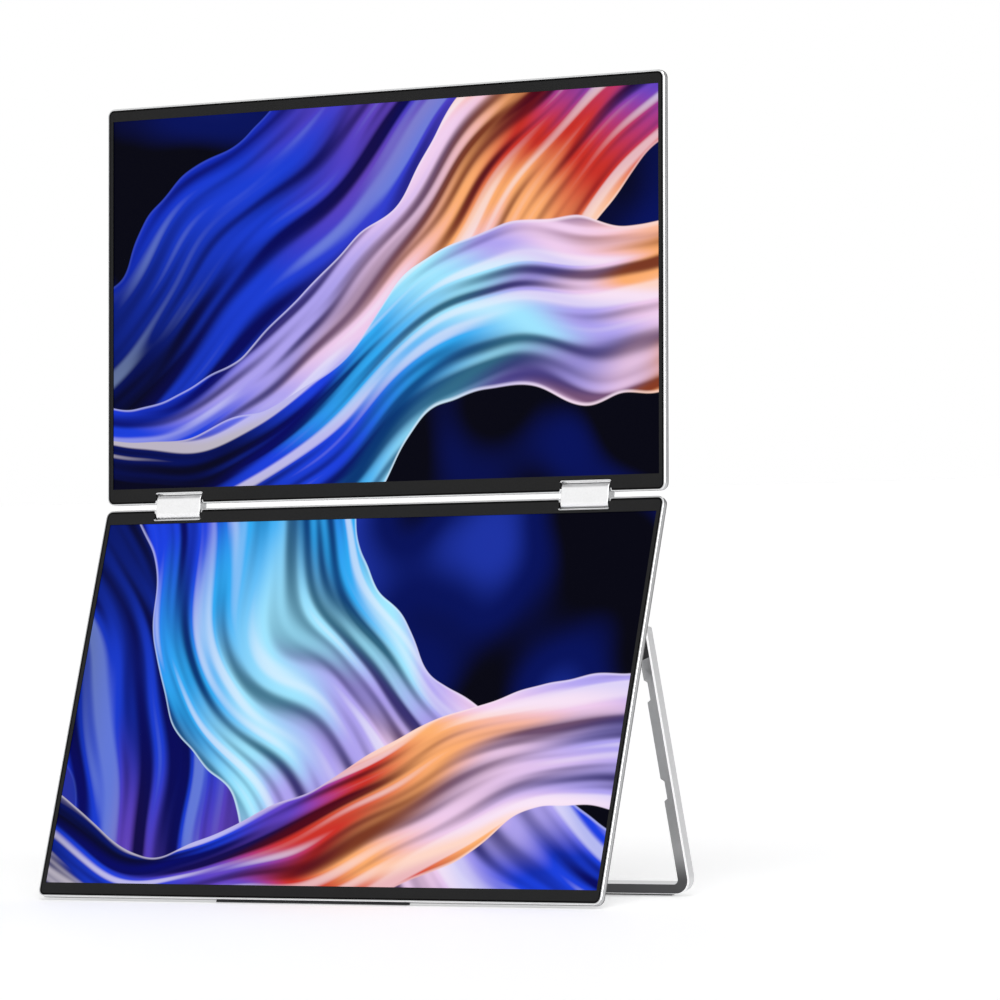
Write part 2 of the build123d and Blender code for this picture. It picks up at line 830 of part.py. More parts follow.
def base_screws():
    screws = []
    for x, z in base_screw_places():
        head_y = back_y + base_leaf_thickness
        screw = rod_y(m2_head, head_y, head_y + m2_pan_head, x, z)
        screws += both_sides(screw + rod_y(m2_shank, inner_back_y, head_y, x, z))
    return screws


# The outer outline's edges on one face of the kickstand's U, below the pivot.
def kick_outer_edges(frame, y):
    middle_x = leg_inner_x + leg_width / 2
    middle_z = bar_height / 2 - kick_length
    found = []
    for edge in frame.edges():
        centre = edge.center()
        outside = abs(centre.X) > middle_x or centre.Z < middle_z
        if outside and centre.Z < leg_depth / 2 and abs(centre.Y - y) < 0.01:
            found.append(edge)
    return found


# The kickstand's own pieces, in its frame: the pivot is the origin and the legs hang down.
def kick_frame():
    half = leg_depth / 2
    tall = kick_length + 2 * half
    outline = Pos(0, 2 * half - tall / 2) * Rectangle(2 * leg_outer_x, tall)
    outline = fillet([v for v in outline.vertices() if v.Y < 0], kick_outer_round)
    inner = Pos(0, bar_height - kick_length + tall / 2) * Rectangle(2 * leg_inner_x, tall)
    inner = fillet([v for v in inner.vertices() if v.Y < 0], kick_inner_round)
    frame = upright(outline - inner, -half, half)
    frame = chamfer(kick_outer_edges(frame, -half), kick_front_bevel)
    frame = chamfer(kick_outer_edges(frame, half), kick_back_bevel)
    keep = block(-leg_outer_x - 1, leg_outer_x + 1, -half, half, -kick_length - 1, 0)
    keep += rod_x(2 * half, -leg_outer_x - 1, leg_outer_x + 1)
    frame = frame & keep
    for z in jog_heights():
        frame -= lever_notch(z - pivot_z)
    for cut in both_sides(leaf_seat()):
        frame -= cut
    shaft = rod_x(kick_shaft, leg_inner_x - 1, kick_shaft_end())
    for cut in both_sides(shaft):
        frame -= cut
    for z in leaf_screw_spots:
        hole = rod_y(leaf_screw_shank, -half, leaf_screw_bite - half + leaf_thickness, leaf_middle_x(), -z)
        frame -= hole
        frame -= left_of(hole)
    return frame


# Sloped-end notch in the right leg's inner side, which clears a jog lever when folded.
def lever_notch(z):
    mouth, floor, deep = lever_notch_mouth / 2, lever_notch_floor / 2, lever_notch_depth
    x = leg_inner_x
    over = (mouth - floor) / deep
    outline = Polygon((x - 1, z - mouth - over), (x + deep, z - floor),
                      (x + deep, z + floor), (x - 1, z + mouth + over), align=None)
    return upright(outline, -leg_depth, leg_depth)


def leaf_middle_x():
    return (leg_inner_x + leg_outer_x - leaf_edge) / 2


def kick_shaft_end():
    return leg_inner_x + eye_cheek + eye_length


# The black leaf lies flush in the leg's front face, with its eye round the shaft.
def leaf_plate():
    right = leg_outer_x - leaf_edge
    outline = Polygon((leg_inner_x, 0), (leg_inner_x, -leaf_long), (right, -leaf_short), (right, 0), align=None)
    return upright(outline, -leg_depth / 2, leaf_thickness - leg_depth / 2)


def leaf_eye():
    return rod_x(2 * eye_radius, leg_inner_x + eye_cheek, kick_shaft_end())


def leaf_seat():
    high = leg_depth
    above = block(leg_inner_x - 1, leg_outer_x - leaf_edge, -leg_depth, leaf_thickness - leg_depth / 2, 0, high)
    return leaf_plate() + above + leaf_eye()


def kick_leaf():
    leaf = leaf_plate() + leaf_eye()
    leaf -= rod_x(kick_shaft, leg_inner_x - 1, kick_shaft_end() + 1)
    for z in leaf_screw_spots:
        x = leaf_middle_x()
        leaf -= rod_y(leaf_screw_head, -leg_depth, m2_flat_head - leg_depth / 2, x, -z)
        leaf -= rod_y(leaf_screw_shank, -leg_depth, 0, x, -z)
    return leaf


def leaf_screws():
    screws = []
    front = -leg_depth / 2
    for z in leaf_screw_spots:
        x = leaf_middle_x()
        screw = rod_y(leaf_screw_head, front, front + m2_flat_head, x, -z)
        screw += rod_y(leaf_screw_shank, front, front + leaf_thickness + leaf_screw_bite, x, -z)
        screws += both_sides(screw)
    return screws


def kick_shafts():
    nut_start = kick_nut_start()
    return both_sides(rod_x(kick_shaft, nut_start - shaft_tail, kick_shaft_end()))


def kick_nut_start():
    return housing_half_width - barrel_inset - barrel_length - kick_nut_gap - kick_nut_thickness


def kick_nuts():
    start = kick_nut_start()
    outline = RegularPolygon(kick_nut_across / 2, 6, major_radius=False) - Circle(kick_shaft / 2)
    return both_sides(along_x(outline, start, start + kick_nut_thickness))


def kick_bushings():
    ring = Circle(bushing_outer / 2) - Circle(kick_shaft / 2)
    return both_sides(along_x(ring, housing_half_width + bushing_gap, leg_inner_x))


# Rubber strips under the bar, cut flat to the surface that the object stands on.
def kick_strips():
    slope = tan(radians(kick_lean))
    half = strip_width / 2
    low = -kick_length - strip_thickness
    section = Polygon((-half, -kick_length), (half, -kick_length), (half, low - half * slope),
                      (-half, low + half * slope), align=None)
    strip = along_x(section, strip_inner, strip_outer)
    deep = 2 * strip_thickness
    slant = Polygon((strip_inner, -kick_length), (strip_outer, -kick_length),
                    (strip_outer - deep, -kick_length - deep), (strip_inner + deep, -kick_length - deep),
                    align=None)
    return both_sides(strip & upright(slant, -leg_depth, leg_depth))


def panel_nodes(name, hinge_bezel, shell):
    layer = screen_layer(hinge_bezel, lcd_border, lcd_y, backlight_y)
    light = screen_layer(hinge_bezel, lcd_border + backlight_border, backlight_y, leaf_y)
    return {
        name + "_shell": [shell],
        name + "_bezel": [panel_bezel(hinge_bezel)],
        name + "_lcd_panel": [layer],
        name + "_backlight": [light],
        name + "_bracket_screws": bracket_screws(),
        name + "_hinge_shafts": hinge_shafts(),
        name + "_friction_washers": friction_washers(),
        name + "_shaft_nuts": shaft_nuts(),
    }


def lower_nodes():
    nodes = panel_nodes("lower", lower_hinge_bezel, lower_shell())
    nodes["lower_hinge_bracket_right"] = [hinge_bracket()]
    nodes["lower_hinge_bracket_left"] = [left_of(hinge_bracket())]
    nodes["housing_frame"] = [housing_frame()]
    nodes["hinge_cap_right"] = [hinge_cap()]
    nodes["hinge_cap_left"] = [left_of(hinge_cap())]
    nodes["rear_cover"] = [rear_cover()]
    nodes["vesa_inserts"] = vesa_inserts()
    nodes["cover_screws"] = cover_screws()
    nodes["rear_feet"] = rear_feet()
    nodes["upper_driver_board"] = [driver_board(board_row_heights[0])]
    nodes["lower_driver_board"] = [driver_board(board_row_heights[1])]
    nodes["usb_c_ports"] = usb_ports()
    nodes["mini_hdmi_ports"] = hdmi_ports()
    nodes["status_light_pipes"] = light_pipes()
    nodes["board_screws"] = board_screws()
    nodes["key_board"] = [key_board()]
    nodes["jog_switches"] = jog_switches()
    nodes["key_ribbon"] = [key_ribbon()]
    nodes["edge_foot"] = [edge_foot()]
    nodes["kick_hinge_base_right"] = [hinge_base()]
    nodes["kick_hinge_base_left"] = [left_of(hinge_base())]
    nodes["kick_base_screws"] = base_screws()
    for row, z in zip(("top", "bottom"), jog_heights()):
        nodes["jog_slide_" + row] = [jog_slide(z)]
        nodes["jog_lever_" + row] = [jog_lever(z)]
    return nodes


def upper_nodes():
    nodes = panel_nodes("upper", upper_hinge_bezel, panel_shell())
    nodes["upper_hinge_bracket_left"] = [hinge_bracket()]
    nodes["upper_hinge_bracket_right"] = [left_of(hinge_bracket())]
    return nodes


def link_nodes():
    return {
        "hinge_block_right": [hinge_block()],
        "hinge_block_left": [left_of(hinge_block())],
        "hinge_core_right": [hinge_core()],
        "hinge_core_left": [left_of(hinge_core())],
        "hinge_end_plates": hinge_end_plates(),
    }


def kick_nodes():
    return {
        "kickstand_frame": [kick_frame()],
        "kickstand_leaf_right": [kick_leaf()],
        "kickstand_leaf_left": [left_of(kick_leaf())],
        "kickstand_leaf_screws": leaf_screws(),
        "kickstand_shafts": kick_shafts(),
        "kickstand_shaft_nuts": kick_nuts(),
        "kickstand_bushings": kick_bushings(),
        "kickstand_rubber_strips": kick_strips(),
    }


# Each frame's place when the lower hinge axis lies on the X axis.
def frames():
    lower = Rot(-lower_lean, 0, 0)
    link = Rot(-link_lean, 0, 0)
    upper_axis = Pos(0, axis_spacing * sin(radians(link_lean)), axis_spacing * cos(radians(link_lean)))
    upper = upper_axis * Rot(-upper_lean, 0, 0) * Rot(0, 180, 0)
    kick = lower * Pos(0, pivot_y, pivot_z) * Rot(lower_lean + kick_lean, 0, 0)
    return lower, link, upper, kick


def assemble():
    lower, link, upper, kick = frames()
    placed = {}
    for place, nodes in ((lower, lower_nodes()), (link, link_nodes()),
                         (upper, upper_nodes()), (kick, kick_nodes())):
        for name, solids in nodes.items():
            placed[name] = Compound([place * s for shape in solids for s in shape.solids()])
    box = Compound(list(placed.values())).bounding_box()
    home = Pos(0, -(box.min.Y + box.max.Y) / 2, -box.min.Z)
    return {name: home * shape for name, shape in placed.items()}, home


def report(home):
    lower, link, upper, kick = frames()
    for name, place in (("lower axis", lower), ("upper axis", upper), ("kickstand pivot", kick)):
        print(name, (home * place).position)
    for number, z in enumerate(jog_heights(), 1):
        print("jog pin", number, (home * lower * Pos(jog_pin_x, jog_y, z)).position)
    for x, z in vesa_places():
        print("mount hole", (home * lower * Pos(x, cover_y, z)).position)
    strip = home * kick * Pos((strip_inner + strip_outer) / 2, 0, -leg_reach)
    print("strip underside", strip.position)
    print("kickstand angle from the panel at rest", lower_lean + kick_lean)
    print("leans", lower_lean, link_lean, upper_lean, kick_lean)


os.makedirs("parts", exist_ok=True)
parts, origin = assemble()
for node, shape in parts.items():
    export_step(shape, "parts/" + node + ".step")
report(origin)
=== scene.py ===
import json
import bpy
import numpy as np
from math import radians, sin, cos
from mathutils import Vector, Matrix


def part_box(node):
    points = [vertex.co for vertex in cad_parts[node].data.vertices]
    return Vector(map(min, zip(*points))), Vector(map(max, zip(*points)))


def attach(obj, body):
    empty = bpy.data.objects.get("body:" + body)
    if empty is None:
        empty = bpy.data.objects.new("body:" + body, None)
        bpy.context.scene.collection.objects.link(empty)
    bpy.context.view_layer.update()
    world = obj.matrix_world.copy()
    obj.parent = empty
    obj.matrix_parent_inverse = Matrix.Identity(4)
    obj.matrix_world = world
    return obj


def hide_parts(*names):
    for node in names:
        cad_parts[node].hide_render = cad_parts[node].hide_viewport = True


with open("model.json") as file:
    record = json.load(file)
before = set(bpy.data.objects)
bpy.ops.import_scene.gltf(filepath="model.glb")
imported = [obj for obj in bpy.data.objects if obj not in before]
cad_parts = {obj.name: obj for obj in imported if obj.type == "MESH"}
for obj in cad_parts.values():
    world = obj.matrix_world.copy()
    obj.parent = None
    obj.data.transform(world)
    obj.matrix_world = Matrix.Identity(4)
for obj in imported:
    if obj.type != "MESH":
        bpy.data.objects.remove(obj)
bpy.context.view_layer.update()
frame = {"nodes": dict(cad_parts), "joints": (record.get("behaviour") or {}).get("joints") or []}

nodes = frame["nodes"]
scene = bpy.context.scene
print("frame loaded:", len(nodes), "nodes")

# how far the leaning parts are turned back from upright, in degrees; the kickstand leans forwards
leans = {"lower": 19.0, "upper": 3.0, "kickstand": -13.911}


# small helpers for node trees

def addNode(tree, kind, **settings):
    node = tree.nodes.new(kind)
    for key, value in settings.items():
        setattr(node, key, value)
    return node


# a number or colour is set on the socket, a socket is linked to it
def plug(tree, value, socket):
    if isinstance(value, bpy.types.NodeSocket):
        tree.links.new(value, socket)
    elif value is not None:
        socket.default_value = value


def calc(tree, operation, first, second=None, third=None, clamp=False):
    node = addNode(tree, "ShaderNodeMath", operation=operation, use_clamp=clamp)
    for value, socket in zip((first, second, third), node.inputs):
        plug(tree, value, socket)
    return node.outputs[0]


# a noise swung about its middle: (noise - 0.5) * gain + base
def swing(tree, noise, gain, base=0.0, clamp=False):
    return calc(tree, "MULTIPLY_ADD", calc(tree, "SUBTRACT", noise, 0.5), gain, base, clamp)


# a value carried from one range to another, in a straight line or a smooth step, and held beyond both ends
def rescale(tree, value, low, high, first=0.0, last=1.0, shape="LINEAR"):
    node = addNode(tree, "ShaderNodeMapRange", interpolation_type=shape)
    numbers = {"Value": value, "From Min": low, "From Max": high, "To Min": first, "To Max": last}
    for key, number in numbers.items():
        plug(tree, number, node.inputs[key])
    return node.outputs["Result"]


# a smooth step from 0 at low to 1 at high, where low may be the larger
def between(tree, value, low, high):
    return rescale(tree, value, low, high, shape="SMOOTHSTEP")


# a hill over a value: 0 below foot, 1 from rise to fall, 0 again above end
def hill(tree, value, foot, rise, fall, end):
    return calc(tree, "MULTIPLY", between(tree, value, foot, rise), between(tree, value, end, fall))


def point(tree, x, y, z):
    node = addNode(tree, "ShaderNodeCombineXYZ")
    for value, socket in zip((x, y, z), node.inputs):
        plug(tree, value, socket)
    return node.outputs[0]


# the X, Y and Z of a vector
def apart(tree, vector):
    node = addNode(tree, "ShaderNodeSeparateXYZ")
    plug(tree, vector, node.inputs[0])
    return node.outputs


def dotWith(tree, vector, direction):
    node = addNode(tree, "ShaderNodeVectorMath", operation="DOT_PRODUCT")
    plug(tree, vector, node.inputs[0])
    plug(tree, direction, node.inputs[1])
    return node.outputs["Value"]


def cloud(tree, vector, scale=1.0, detail=2.0, roughness=0.5):
    node = addNode(tree, "ShaderNodeTexNoise")
    plug(tree, vector, node.inputs["Vector"])
    plug(tree, scale, node.inputs["Scale"])
    node.inputs["Detail"].default_value = detail
    node.inputs["Roughness"].default_value = roughness
    return node.outputs["Fac"]


def blendColour(tree, factor, under, over, mode="MIX"):
    node = addNode(tree, "ShaderNodeMix", data_type="RGBA", blend_type=mode)
    plug(tree, factor, node.inputs[0])
    plug(tree, under, node.inputs[6])
    plug(tree, over, node.inputs[7])
    return node.outputs[2]


# stops are (place, colour), at least two
def ramp(tree, factor, stops):
    node = addNode(tree, "ShaderNodeValToRGB")
    node.color_ramp.interpolation = "EASE"
    elements = node.color_ramp.elements
    while len(elements) < len(stops):
        elements.new(0.5)
    for element, (place, colour) in zip(elements, stops):
        element.position = place
        element.color = (*colour, 1.0)
    plug(tree, factor, node.inputs["Fac"])
    return node.outputs["Color"]


# an empty node group with named sockets; inputs are (name, kind, default), outputs (name, kind)
def newGroup(name, inputs, outputs):
    tree = bpy.data.node_groups.new(name, "ShaderNodeTree")
    for label, kind, default in inputs:
        socket = tree.interface.new_socket(name=label, in_out="INPUT", socket_type=kind)
        if default is not None:
            socket.default_value = default
    for label, kind in outputs:
        tree.interface.new_socket(name=label, in_out="OUTPUT", socket_type=kind)
    return tree, addNode(tree, "NodeGroupInput"), addNode(tree, "NodeGroupOutput")


def useGroup(tree, group, **values):
    node = addNode(tree, "ShaderNodeGroup", node_tree=group)
    for label, value in values.items():
        plug(tree, value, node.inputs[label])
    return node


# a material with its tree, its shader and the coordinates that patterns read
def newMaterial(name, metallic=0.0, roughness=0.5, colour=(0.8, 0.8, 0.8)):
    material = bpy.data.materials.new(name)
    material.use_nodes = True
    tree = material.node_tree
    shader = tree.nodes["Principled BSDF"]
    shader.inputs["Base Color"].default_value = (*colour, 1.0)
    shader.inputs["Metallic"].default_value = metallic
    shader.inputs["Roughness"].default_value = roughness
    where = addNode(tree, "ShaderNodeTexCoord").outputs["Object"]
    return material, tree, shader, where


# normal . side, where side leans back from +Y by an angle in degrees, or is the opposite with sign -1
def facing(tree, leanDegrees, sign=1):
    lean = radians(leanDegrees)
    normal = addNode(tree, "ShaderNodeTexCoord").outputs["Normal"]
    return dotWith(tree, normal, (0.0, sign * cos(lean), -sign * sin(lean)))


# skin of blasted metal and moulded plastic

# each noise: the input that it follows, its scale as a share of that, its detail and its roughness
skinNoises = {"grain": ("Grain", 1.0, 2.0, 0.6), "speck": ("Grain", 0.33, 1.0, 0.5),
              "broad": ("Cloud", 1.0, 3.0, 0.5), "gloss": ("Cloud", 5.3, 4.0, 0.6)}
broadShare = 0.4   # of the broad clouds in the shade


# height = grain, shade = speck + a share of the broad clouds, gloss = finer clouds
def makeSkinGroup():
    tree, given, out = newGroup(
        "skinFinish",
        [("Vector", "NodeSocketVector", None), ("Grain", "NodeSocketFloat", 4000.0),
         ("Cloud", "NodeSocketFloat", 12.0)],
        [("Height", "NodeSocketFloat"), ("Shade", "NodeSocketFloat"), ("Gloss", "NodeSocketFloat")])
    noise = {}
    for name, (follows, share, detail, roughness) in skinNoises.items():
        scale = calc(tree, "MULTIPLY", given.outputs[follows], share)
        noise[name] = cloud(tree, given.outputs["Vector"], scale, detail, roughness)
    plug(tree, noise["grain"], out.inputs["Height"])
    plug(tree, swing(tree, noise["broad"], broadShare, noise["speck"]), out.inputs["Shade"])
    plug(tree, noise["gloss"], out.inputs["Gloss"])
    return tree


skinGroup = makeSkinGroup()
shadeRange, glossRange = (0.2, 0.8), (0.3, 0.7)   # the parts of the noises' range that are used
bevel = dict(foot=0.3, rise=0.5, fall=0.92, end=0.98)   # over normal . side, between a wall and a face
# the bright cut is a real bevel finish, and its brightness also paints a highlight on it
brightCutAndHighlight = dict(colour=(0.93, 0.93, 0.935), roughness=0.2)   # bevels cut after the anodising
# painted shade on rolled edges that face back: where it falls over normal . back, and its colour
paintedRollShadeSpan = dict(foot=-0.12, rise=0.22, fall=0.50, end=0.97)   # over normal . back, from a wall to the back
paintedRollShadeColour = (0.17, 0.17, 0.174)


# share of the painted shade on a piece's front face, standing for the reflected shadow under the panel: 1
# below low, the look's share at high, 0 above clear
def paintedFrontShade(tree, where, look):
    height = apart(tree, where)["Z"]
    bar = calc(tree, "MULTIPLY", between(tree, height, look["high"], look["low"]), 1 - look["share"])
    leg = calc(tree, "MULTIPLY", between(tree, height, look["clear"], look["high"]), look["share"])
    front = between(tree, facing(tree, look["lean"], -1), look["wall"], look["face"])
    return calc(tree, "MULTIPLY", front, calc(tree, "ADD", bar, leg))


# colour = base * (1 -+ shadeSpan) by the shade, roughness between its two values by the gloss, then the
# bright cut (its brightness partly a painted highlight) and the painted shade of rolled edges and front faces
# where the look has them, and the normal from the grain
def addFinish(tree, shader, where, look):
    skin = useGroup(tree, skinGroup, Vector=where, Grain=look["grain"], Cloud=look["cloud"])
    dark = tuple(c * (1 - look["shadeSpan"]) for c in look["colour"])
    light = tuple(min(1.0, c * (1 + look["shadeSpan"])) for c in look["colour"])
    tone = rescale(tree, skin.outputs["Shade"], *shadeRange)
    colour = blendColour(tree, tone, (*dark, 1), (*light, 1))
    gloss = rescale(tree, skin.outputs["Gloss"], *glossRange, *look["roughness"])
    # bright cut on bevels: smoother, brighter metal, its brightness partly a painted highlight
    if "cut" in look:
        edge = 0.0
        for side in look["cut"]:
            edge = calc(tree, "ADD", edge, hill(tree, facing(tree, *side), **bevel))
        colour = blendColour(tree, edge, colour, (*brightCutAndHighlight["colour"], 1))
        gloss = calc(tree, "MULTIPLY_ADD", edge, calc(tree, "SUBTRACT", brightCutAndHighlight["roughness"], gloss), gloss)
    # painted shade on the rolled edges facing back
    if "roll" in look:
        share = hill(tree, facing(tree, look["roll"]), **paintedRollShadeSpan)
        colour = blendColour(tree, share, colour, (*paintedRollShadeColour, 1))
    # painted shade on the front face, for the shadowed floor that it reflects
    if "front" in look:
        share = paintedFrontShade(tree, where, look["front"])
        colour = blendColour(tree, share, colour, (*look["front"]["colour"], 1))
    plug(tree, colour, shader.inputs["Base Color"])
    plug(tree, gloss, shader.inputs["Roughness"])
    shader.inputs["Specular IOR Level"].default_value = look.get("specular", 0.5)
    bump = addNode(tree, "ShaderNodeBump")
    bump.inputs["Strength"].default_value = look["bump"]
    bump.inputs["Distance"].default_value = look["depth"]
    plug(tree, skin.outputs["Height"], bump.inputs["Height"])
    plug(tree, bump.outputs["Normal"], shader.inputs["Normal"])


def makeFinished(name, look):
    material, tree, shader, where = newMaterial(name, look["metallic"], colour=look["colour"])
    addFinish(tree, shader, where, look)
    return material, tree, shader, where


# colour, metallic, range of roughness, scale of grain and cloud, span of the shade, bump strength and depth;
# cut lists the sides with a bright cut bevel, whose brightness is partly a painted highlight, roll is the
# lean of a piece whose rolled edges get a painted shade, and front has the painted shade of a front face,
# standing for the reflected shadow under the panel, with wall and face over normal . front, and low, high and
# clear as heights
trayAluminium = dict(colour=(0.69, 0.693, 0.70), metallic=1.0, roughness=(0.33, 0.38), grain=4600.0,
                     cloud=9.0, shadeSpan=0.03, bump=0.35, depth=0.00004)
# painted shade of the kickstand's front face: darkest on the bar, fading up the leg
kickstandPaintedShade = dict(lean=leans["kickstand"], wall=0.93, face=0.98, low=0.006, high=0.026, clear=0.075,
                      share=0.4, colour=(0.085, 0.085, 0.088))
finishes = {
    "lowerTray": dict(trayAluminium, cut=[(leans["lower"], -1)], roll=leans["lower"]),
    "upperTray": dict(trayAluminium, cut=[(leans["upper"], -1)], roll=leans["upper"]),
    "housingAluminium": dict(colour=(0.64, 0.643, 0.65), metallic=1.0, roughness=(0.33, 0.39), grain=3600.0,
                             cloud=12.0, shadeSpan=0.05, bump=0.40, depth=0.00005,
                             cut=[(leans["lower"], 1)]),
    "kickstandAluminium": dict(colour=(0.66, 0.662, 0.67), metallic=1.0, roughness=(0.28, 0.36), grain=4600.0,
                               cloud=14.0, shadeSpan=0.03, bump=0.30, depth=0.00004,
                               cut=[(leans["kickstand"], -1), (leans["kickstand"], 1)], front=kickstandPaintedShade),
    "hingeAluminium": dict(colour=(0.93, 0.93, 0.935), metallic=1.0, roughness=(0.32, 0.42), grain=3200.0,
                           cloud=40.0, shadeSpan=0.03, bump=0.55, depth=0.00006),
    "backlightWhite": dict(colour=(0.80, 0.81, 0.82), metallic=0.0, roughness=(0.5, 0.6), grain=3000.0,
                           cloud=20.0, shadeSpan=0.03, bump=0.1, depth=0.00003),
    "hingeSteel": dict(colour=(0.50, 0.505, 0.51), metallic=1.0, roughness=(0.26, 0.38), grain=2500.0,
                       cloud=60.0, shadeSpan=0.08, bump=0.25, depth=0.00004),
    "blackSteel": dict(colour=(0.035, 0.035, 0.037), metallic=0.0, roughness=(0.36, 0.48), grain=2500.0,
                       cloud=60.0, shadeSpan=0.2, bump=0.3, depth=0.00004, specular=0.45),
    "mountBrass": dict(colour=(0.74, 0.45, 0.17), metallic=1.0, roughness=(0.22, 0.34), grain=2500.0,
                       cloud=90.0, shadeSpan=0.10, bump=0.2, depth=0.00004),
    "bushingCopper": dict(colour=(0.40, 0.17, 0.09), metallic=1.0, roughness=(0.26, 0.38), grain=2500.0,
                          cloud=90.0, shadeSpan=0.10, bump=0.2, depth=0.00004),
    "footRubber": dict(colour=(0.014, 0.014, 0.015), metallic=0.0, roughness=(0.66, 0.80), grain=3500.0,
                       cloud=50.0, shadeSpan=0.3, bump=0.6, depth=0.00008, specular=0.3),
    "padRubber": dict(colour=(0.085, 0.085, 0.087), metallic=0.0, roughness=(0.6, 0.74), grain=3000.0,
                      cloud=50.0, shadeSpan=0.25, bump=0.6, depth=0.00008, specular=0.35),
    "socketShell": dict(colour=(0.46, 0.33, 0.21), metallic=1.0, roughness=(0.24, 0.36), grain=2500.0,
                        cloud=90.0, shadeSpan=0.08, bump=0.2, depth=0.00003),
    "boardGreen": dict(colour=(0.012, 0.12, 0.06), metallic=0.0, roughness=(0.3, 0.42), grain=1500.0,
                       cloud=50.0, shadeSpan=0.2, bump=0.2, depth=0.00005),
    "mouldedBlack": dict(colour=(0.02, 0.02, 0.022), metallic=0.0, roughness=(0.45, 0.58), grain=3000.0,
                         cloud=50.0, shadeSpan=0.15, bump=0.3, depth=0.00004),
    "leverSilver": dict(colour=(0.50, 0.505, 0.515), metallic=0.8, roughness=(0.32, 0.42), grain=4200.0,
                        cloud=60.0, shadeSpan=0.05, bump=0.3, depth=0.00004),
    "flatCable": dict(colour=(0.70, 0.70, 0.66), metallic=0.0, roughness=(0.45, 0.55), grain=1500.0,
                      cloud=50.0, shadeSpan=0.05, bump=0.2, depth=0.00005),
    "lightPipe": dict(colour=(0.60, 0.42, 0.38), metallic=0.0, roughness=(0.15, 0.25), grain=1500.0,
                      cloud=50.0, shadeSpan=0.03, bump=0.05, depth=0.00003, glow=(0.9, 0.14, 0.08),
                      glowStrength=0.25),
    "contactGold": dict(colour=(0.85, 0.62, 0.25), metallic=1.0, roughness=(0.2, 0.3), grain=3000.0,
                        cloud=90.0, shadeSpan=0.04, bump=0.1, depth=0.00003),
}
materials = {}
for finishName, look in finishes.items():
    material, tree, shader, where = makeFinished(finishName, look)
    if "glow" in look:
        shader.inputs["Emission Color"].default_value = (*look["glow"], 1)
        shader.inputs["Emission Strength"].default_value = look["glowStrength"]
    materials[finishName] = material


# coordinates across, into and up a leaning panel, from the middle of one of its nodes: the place less
# that middle, turned upright by the panel's lean
def panelPlace(tree, where, node, leanDegrees):
    low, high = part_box(node)
    lean = radians(leanDegrees)
    straight = addNode(tree, "ShaderNodeMapping", vector_type="POINT")
    straight.inputs["Rotation"].default_value = (lean, 0.0, 0.0)
    straight.inputs["Location"].default_value = -(Matrix.Rotation(lean, 3, "X") @ ((low + high) / 2))
    plug(tree, where, straight.inputs["Vector"])
    return straight.outputs[0]


# depth of a place inside a rectangle with round corners: its distance to the nearest edge
def insideEdge(tree, x, z, halfWidth, halfHeight, corner):
    beyondX = calc(tree, "SUBTRACT", calc(tree, "ABSOLUTE", x), halfWidth - corner)
    beyondZ = calc(tree, "SUBTRACT", calc(tree, "ABSOLUTE", z), halfHeight - corner)
    squareX = calc(tree, "POWER", calc(tree, "MAXIMUM", beyondX, 0.0), 2.0)
    squareZ = calc(tree, "POWER", calc(tree, "MAXIMUM", beyondZ, 0.0), 2.0)
    rounded = calc(tree, "SQRT", calc(tree, "ADD", squareX, squareZ))
    flat = calc(tree, "MINIMUM", calc(tree, "MAXIMUM", beyondX, beyondZ), 0.0)
    return calc(tree, "SUBTRACT", corner, calc(tree, "ADD", rounded, flat))


# the bezel gets a painted shadow along its rim, in the groove there and on the walls of its opening
bezel = dict(thickness=0.0006, corner=0.00315, rim=0.0006, rimFade=0.0011, shadowFrom=0.00012,
             shadow=(0.0006, 0.0006, 0.0006),
             finish=dict(colour=(0.0195, 0.0195, 0.0198), metallic=0.0, roughness=(0.46, 0.58), grain=5200.0,
                         cloud=20.0, shadeSpan=0.12, bump=0.3, depth=0.00004, specular=0.06))


# shadow where the place is behind the front face, or nearer to the outer edge than the rim
def makeBezelBlack(side):
    node = side + "_bezel"
    material, tree, shader, where = makeFinished(side + "BezelBlack", bezel["finish"])
    place = apart(tree, panelPlace(tree, where, node, leans[side]))
    behindFace = calc(tree, "ADD", place["Y"], bezel["thickness"] / 2)
    sunk = between(tree, behindFace, bezel["shadowFrom"], 2 * bezel["shadowFrom"])
    low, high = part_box(node)
    lean = radians(leans[side])
    height = (high.z - low.z - bezel["thickness"] * sin(lean)) / cos(lean)
    depth = insideEdge(tree, place["X"], place["Z"], high.x, height / 2, bezel["corner"])
    dark = calc(tree, "MAXIMUM", sunk, between(tree, depth, bezel["rimFade"], bezel["rim"]))
    skin = shader.inputs["Base Color"].links[0].from_socket
    plug(tree, blendColour(tree, dark, skin, (*bezel["shadow"], 1)), shader.inputs["Base Color"])
    return material


for side in ("lower", "upper"):
    materials[side + "BezelBlack"] = makeBezelBlack(side)
print("finishes:", len(materials))


# the screens' picture: loose ribbons of satin and light on black

screenSize = (0.34416, 0.19359)   # the panels' visible area
screenGlass = dict(colour=(0.0015, 0.0015, 0.002), roughness=0.35, specular=0.02, brightness=1.0)

black, nightBlue, inkBlue = (0.0, 0.0, 0.004), (0.0, 0.004, 0.10), (0.01, 0.03, 0.36)
deepBlue, royalBlue, violet = (0.02, 0.04, 0.34), (0.01, 0.05, 0.72), (0.13, 0.06, 0.55)
plum, wine, emberRed = (0.06, 0.02, 0.18), (0.16, 0.01, 0.10), (0.60, 0.03, 0.02)
lilac, paleRose, peach = (0.42, 0.36, 0.86), (0.86, 0.60, 0.84), (0.98, 0.42, 0.16)
skyCyan, iceBlue = (0.03, 0.40, 0.90), (0.35, 0.78, 1.0)

# brightness, strength of the border's line, and share and tint of the pale crests
backSatin = dict(edge=0.2, paleShare=0.30, paleTint=(0.45, 0.62, 1.0))
middleSatin = dict(gain=1.0, edge=0.8, paleShare=0.5, paleTint=(0.92, 0.92, 1.0))
frontSatin = dict(gain=1.0, edge=0.9, paleShare=0.5, paleTint=(1.0, 0.92, 0.98))

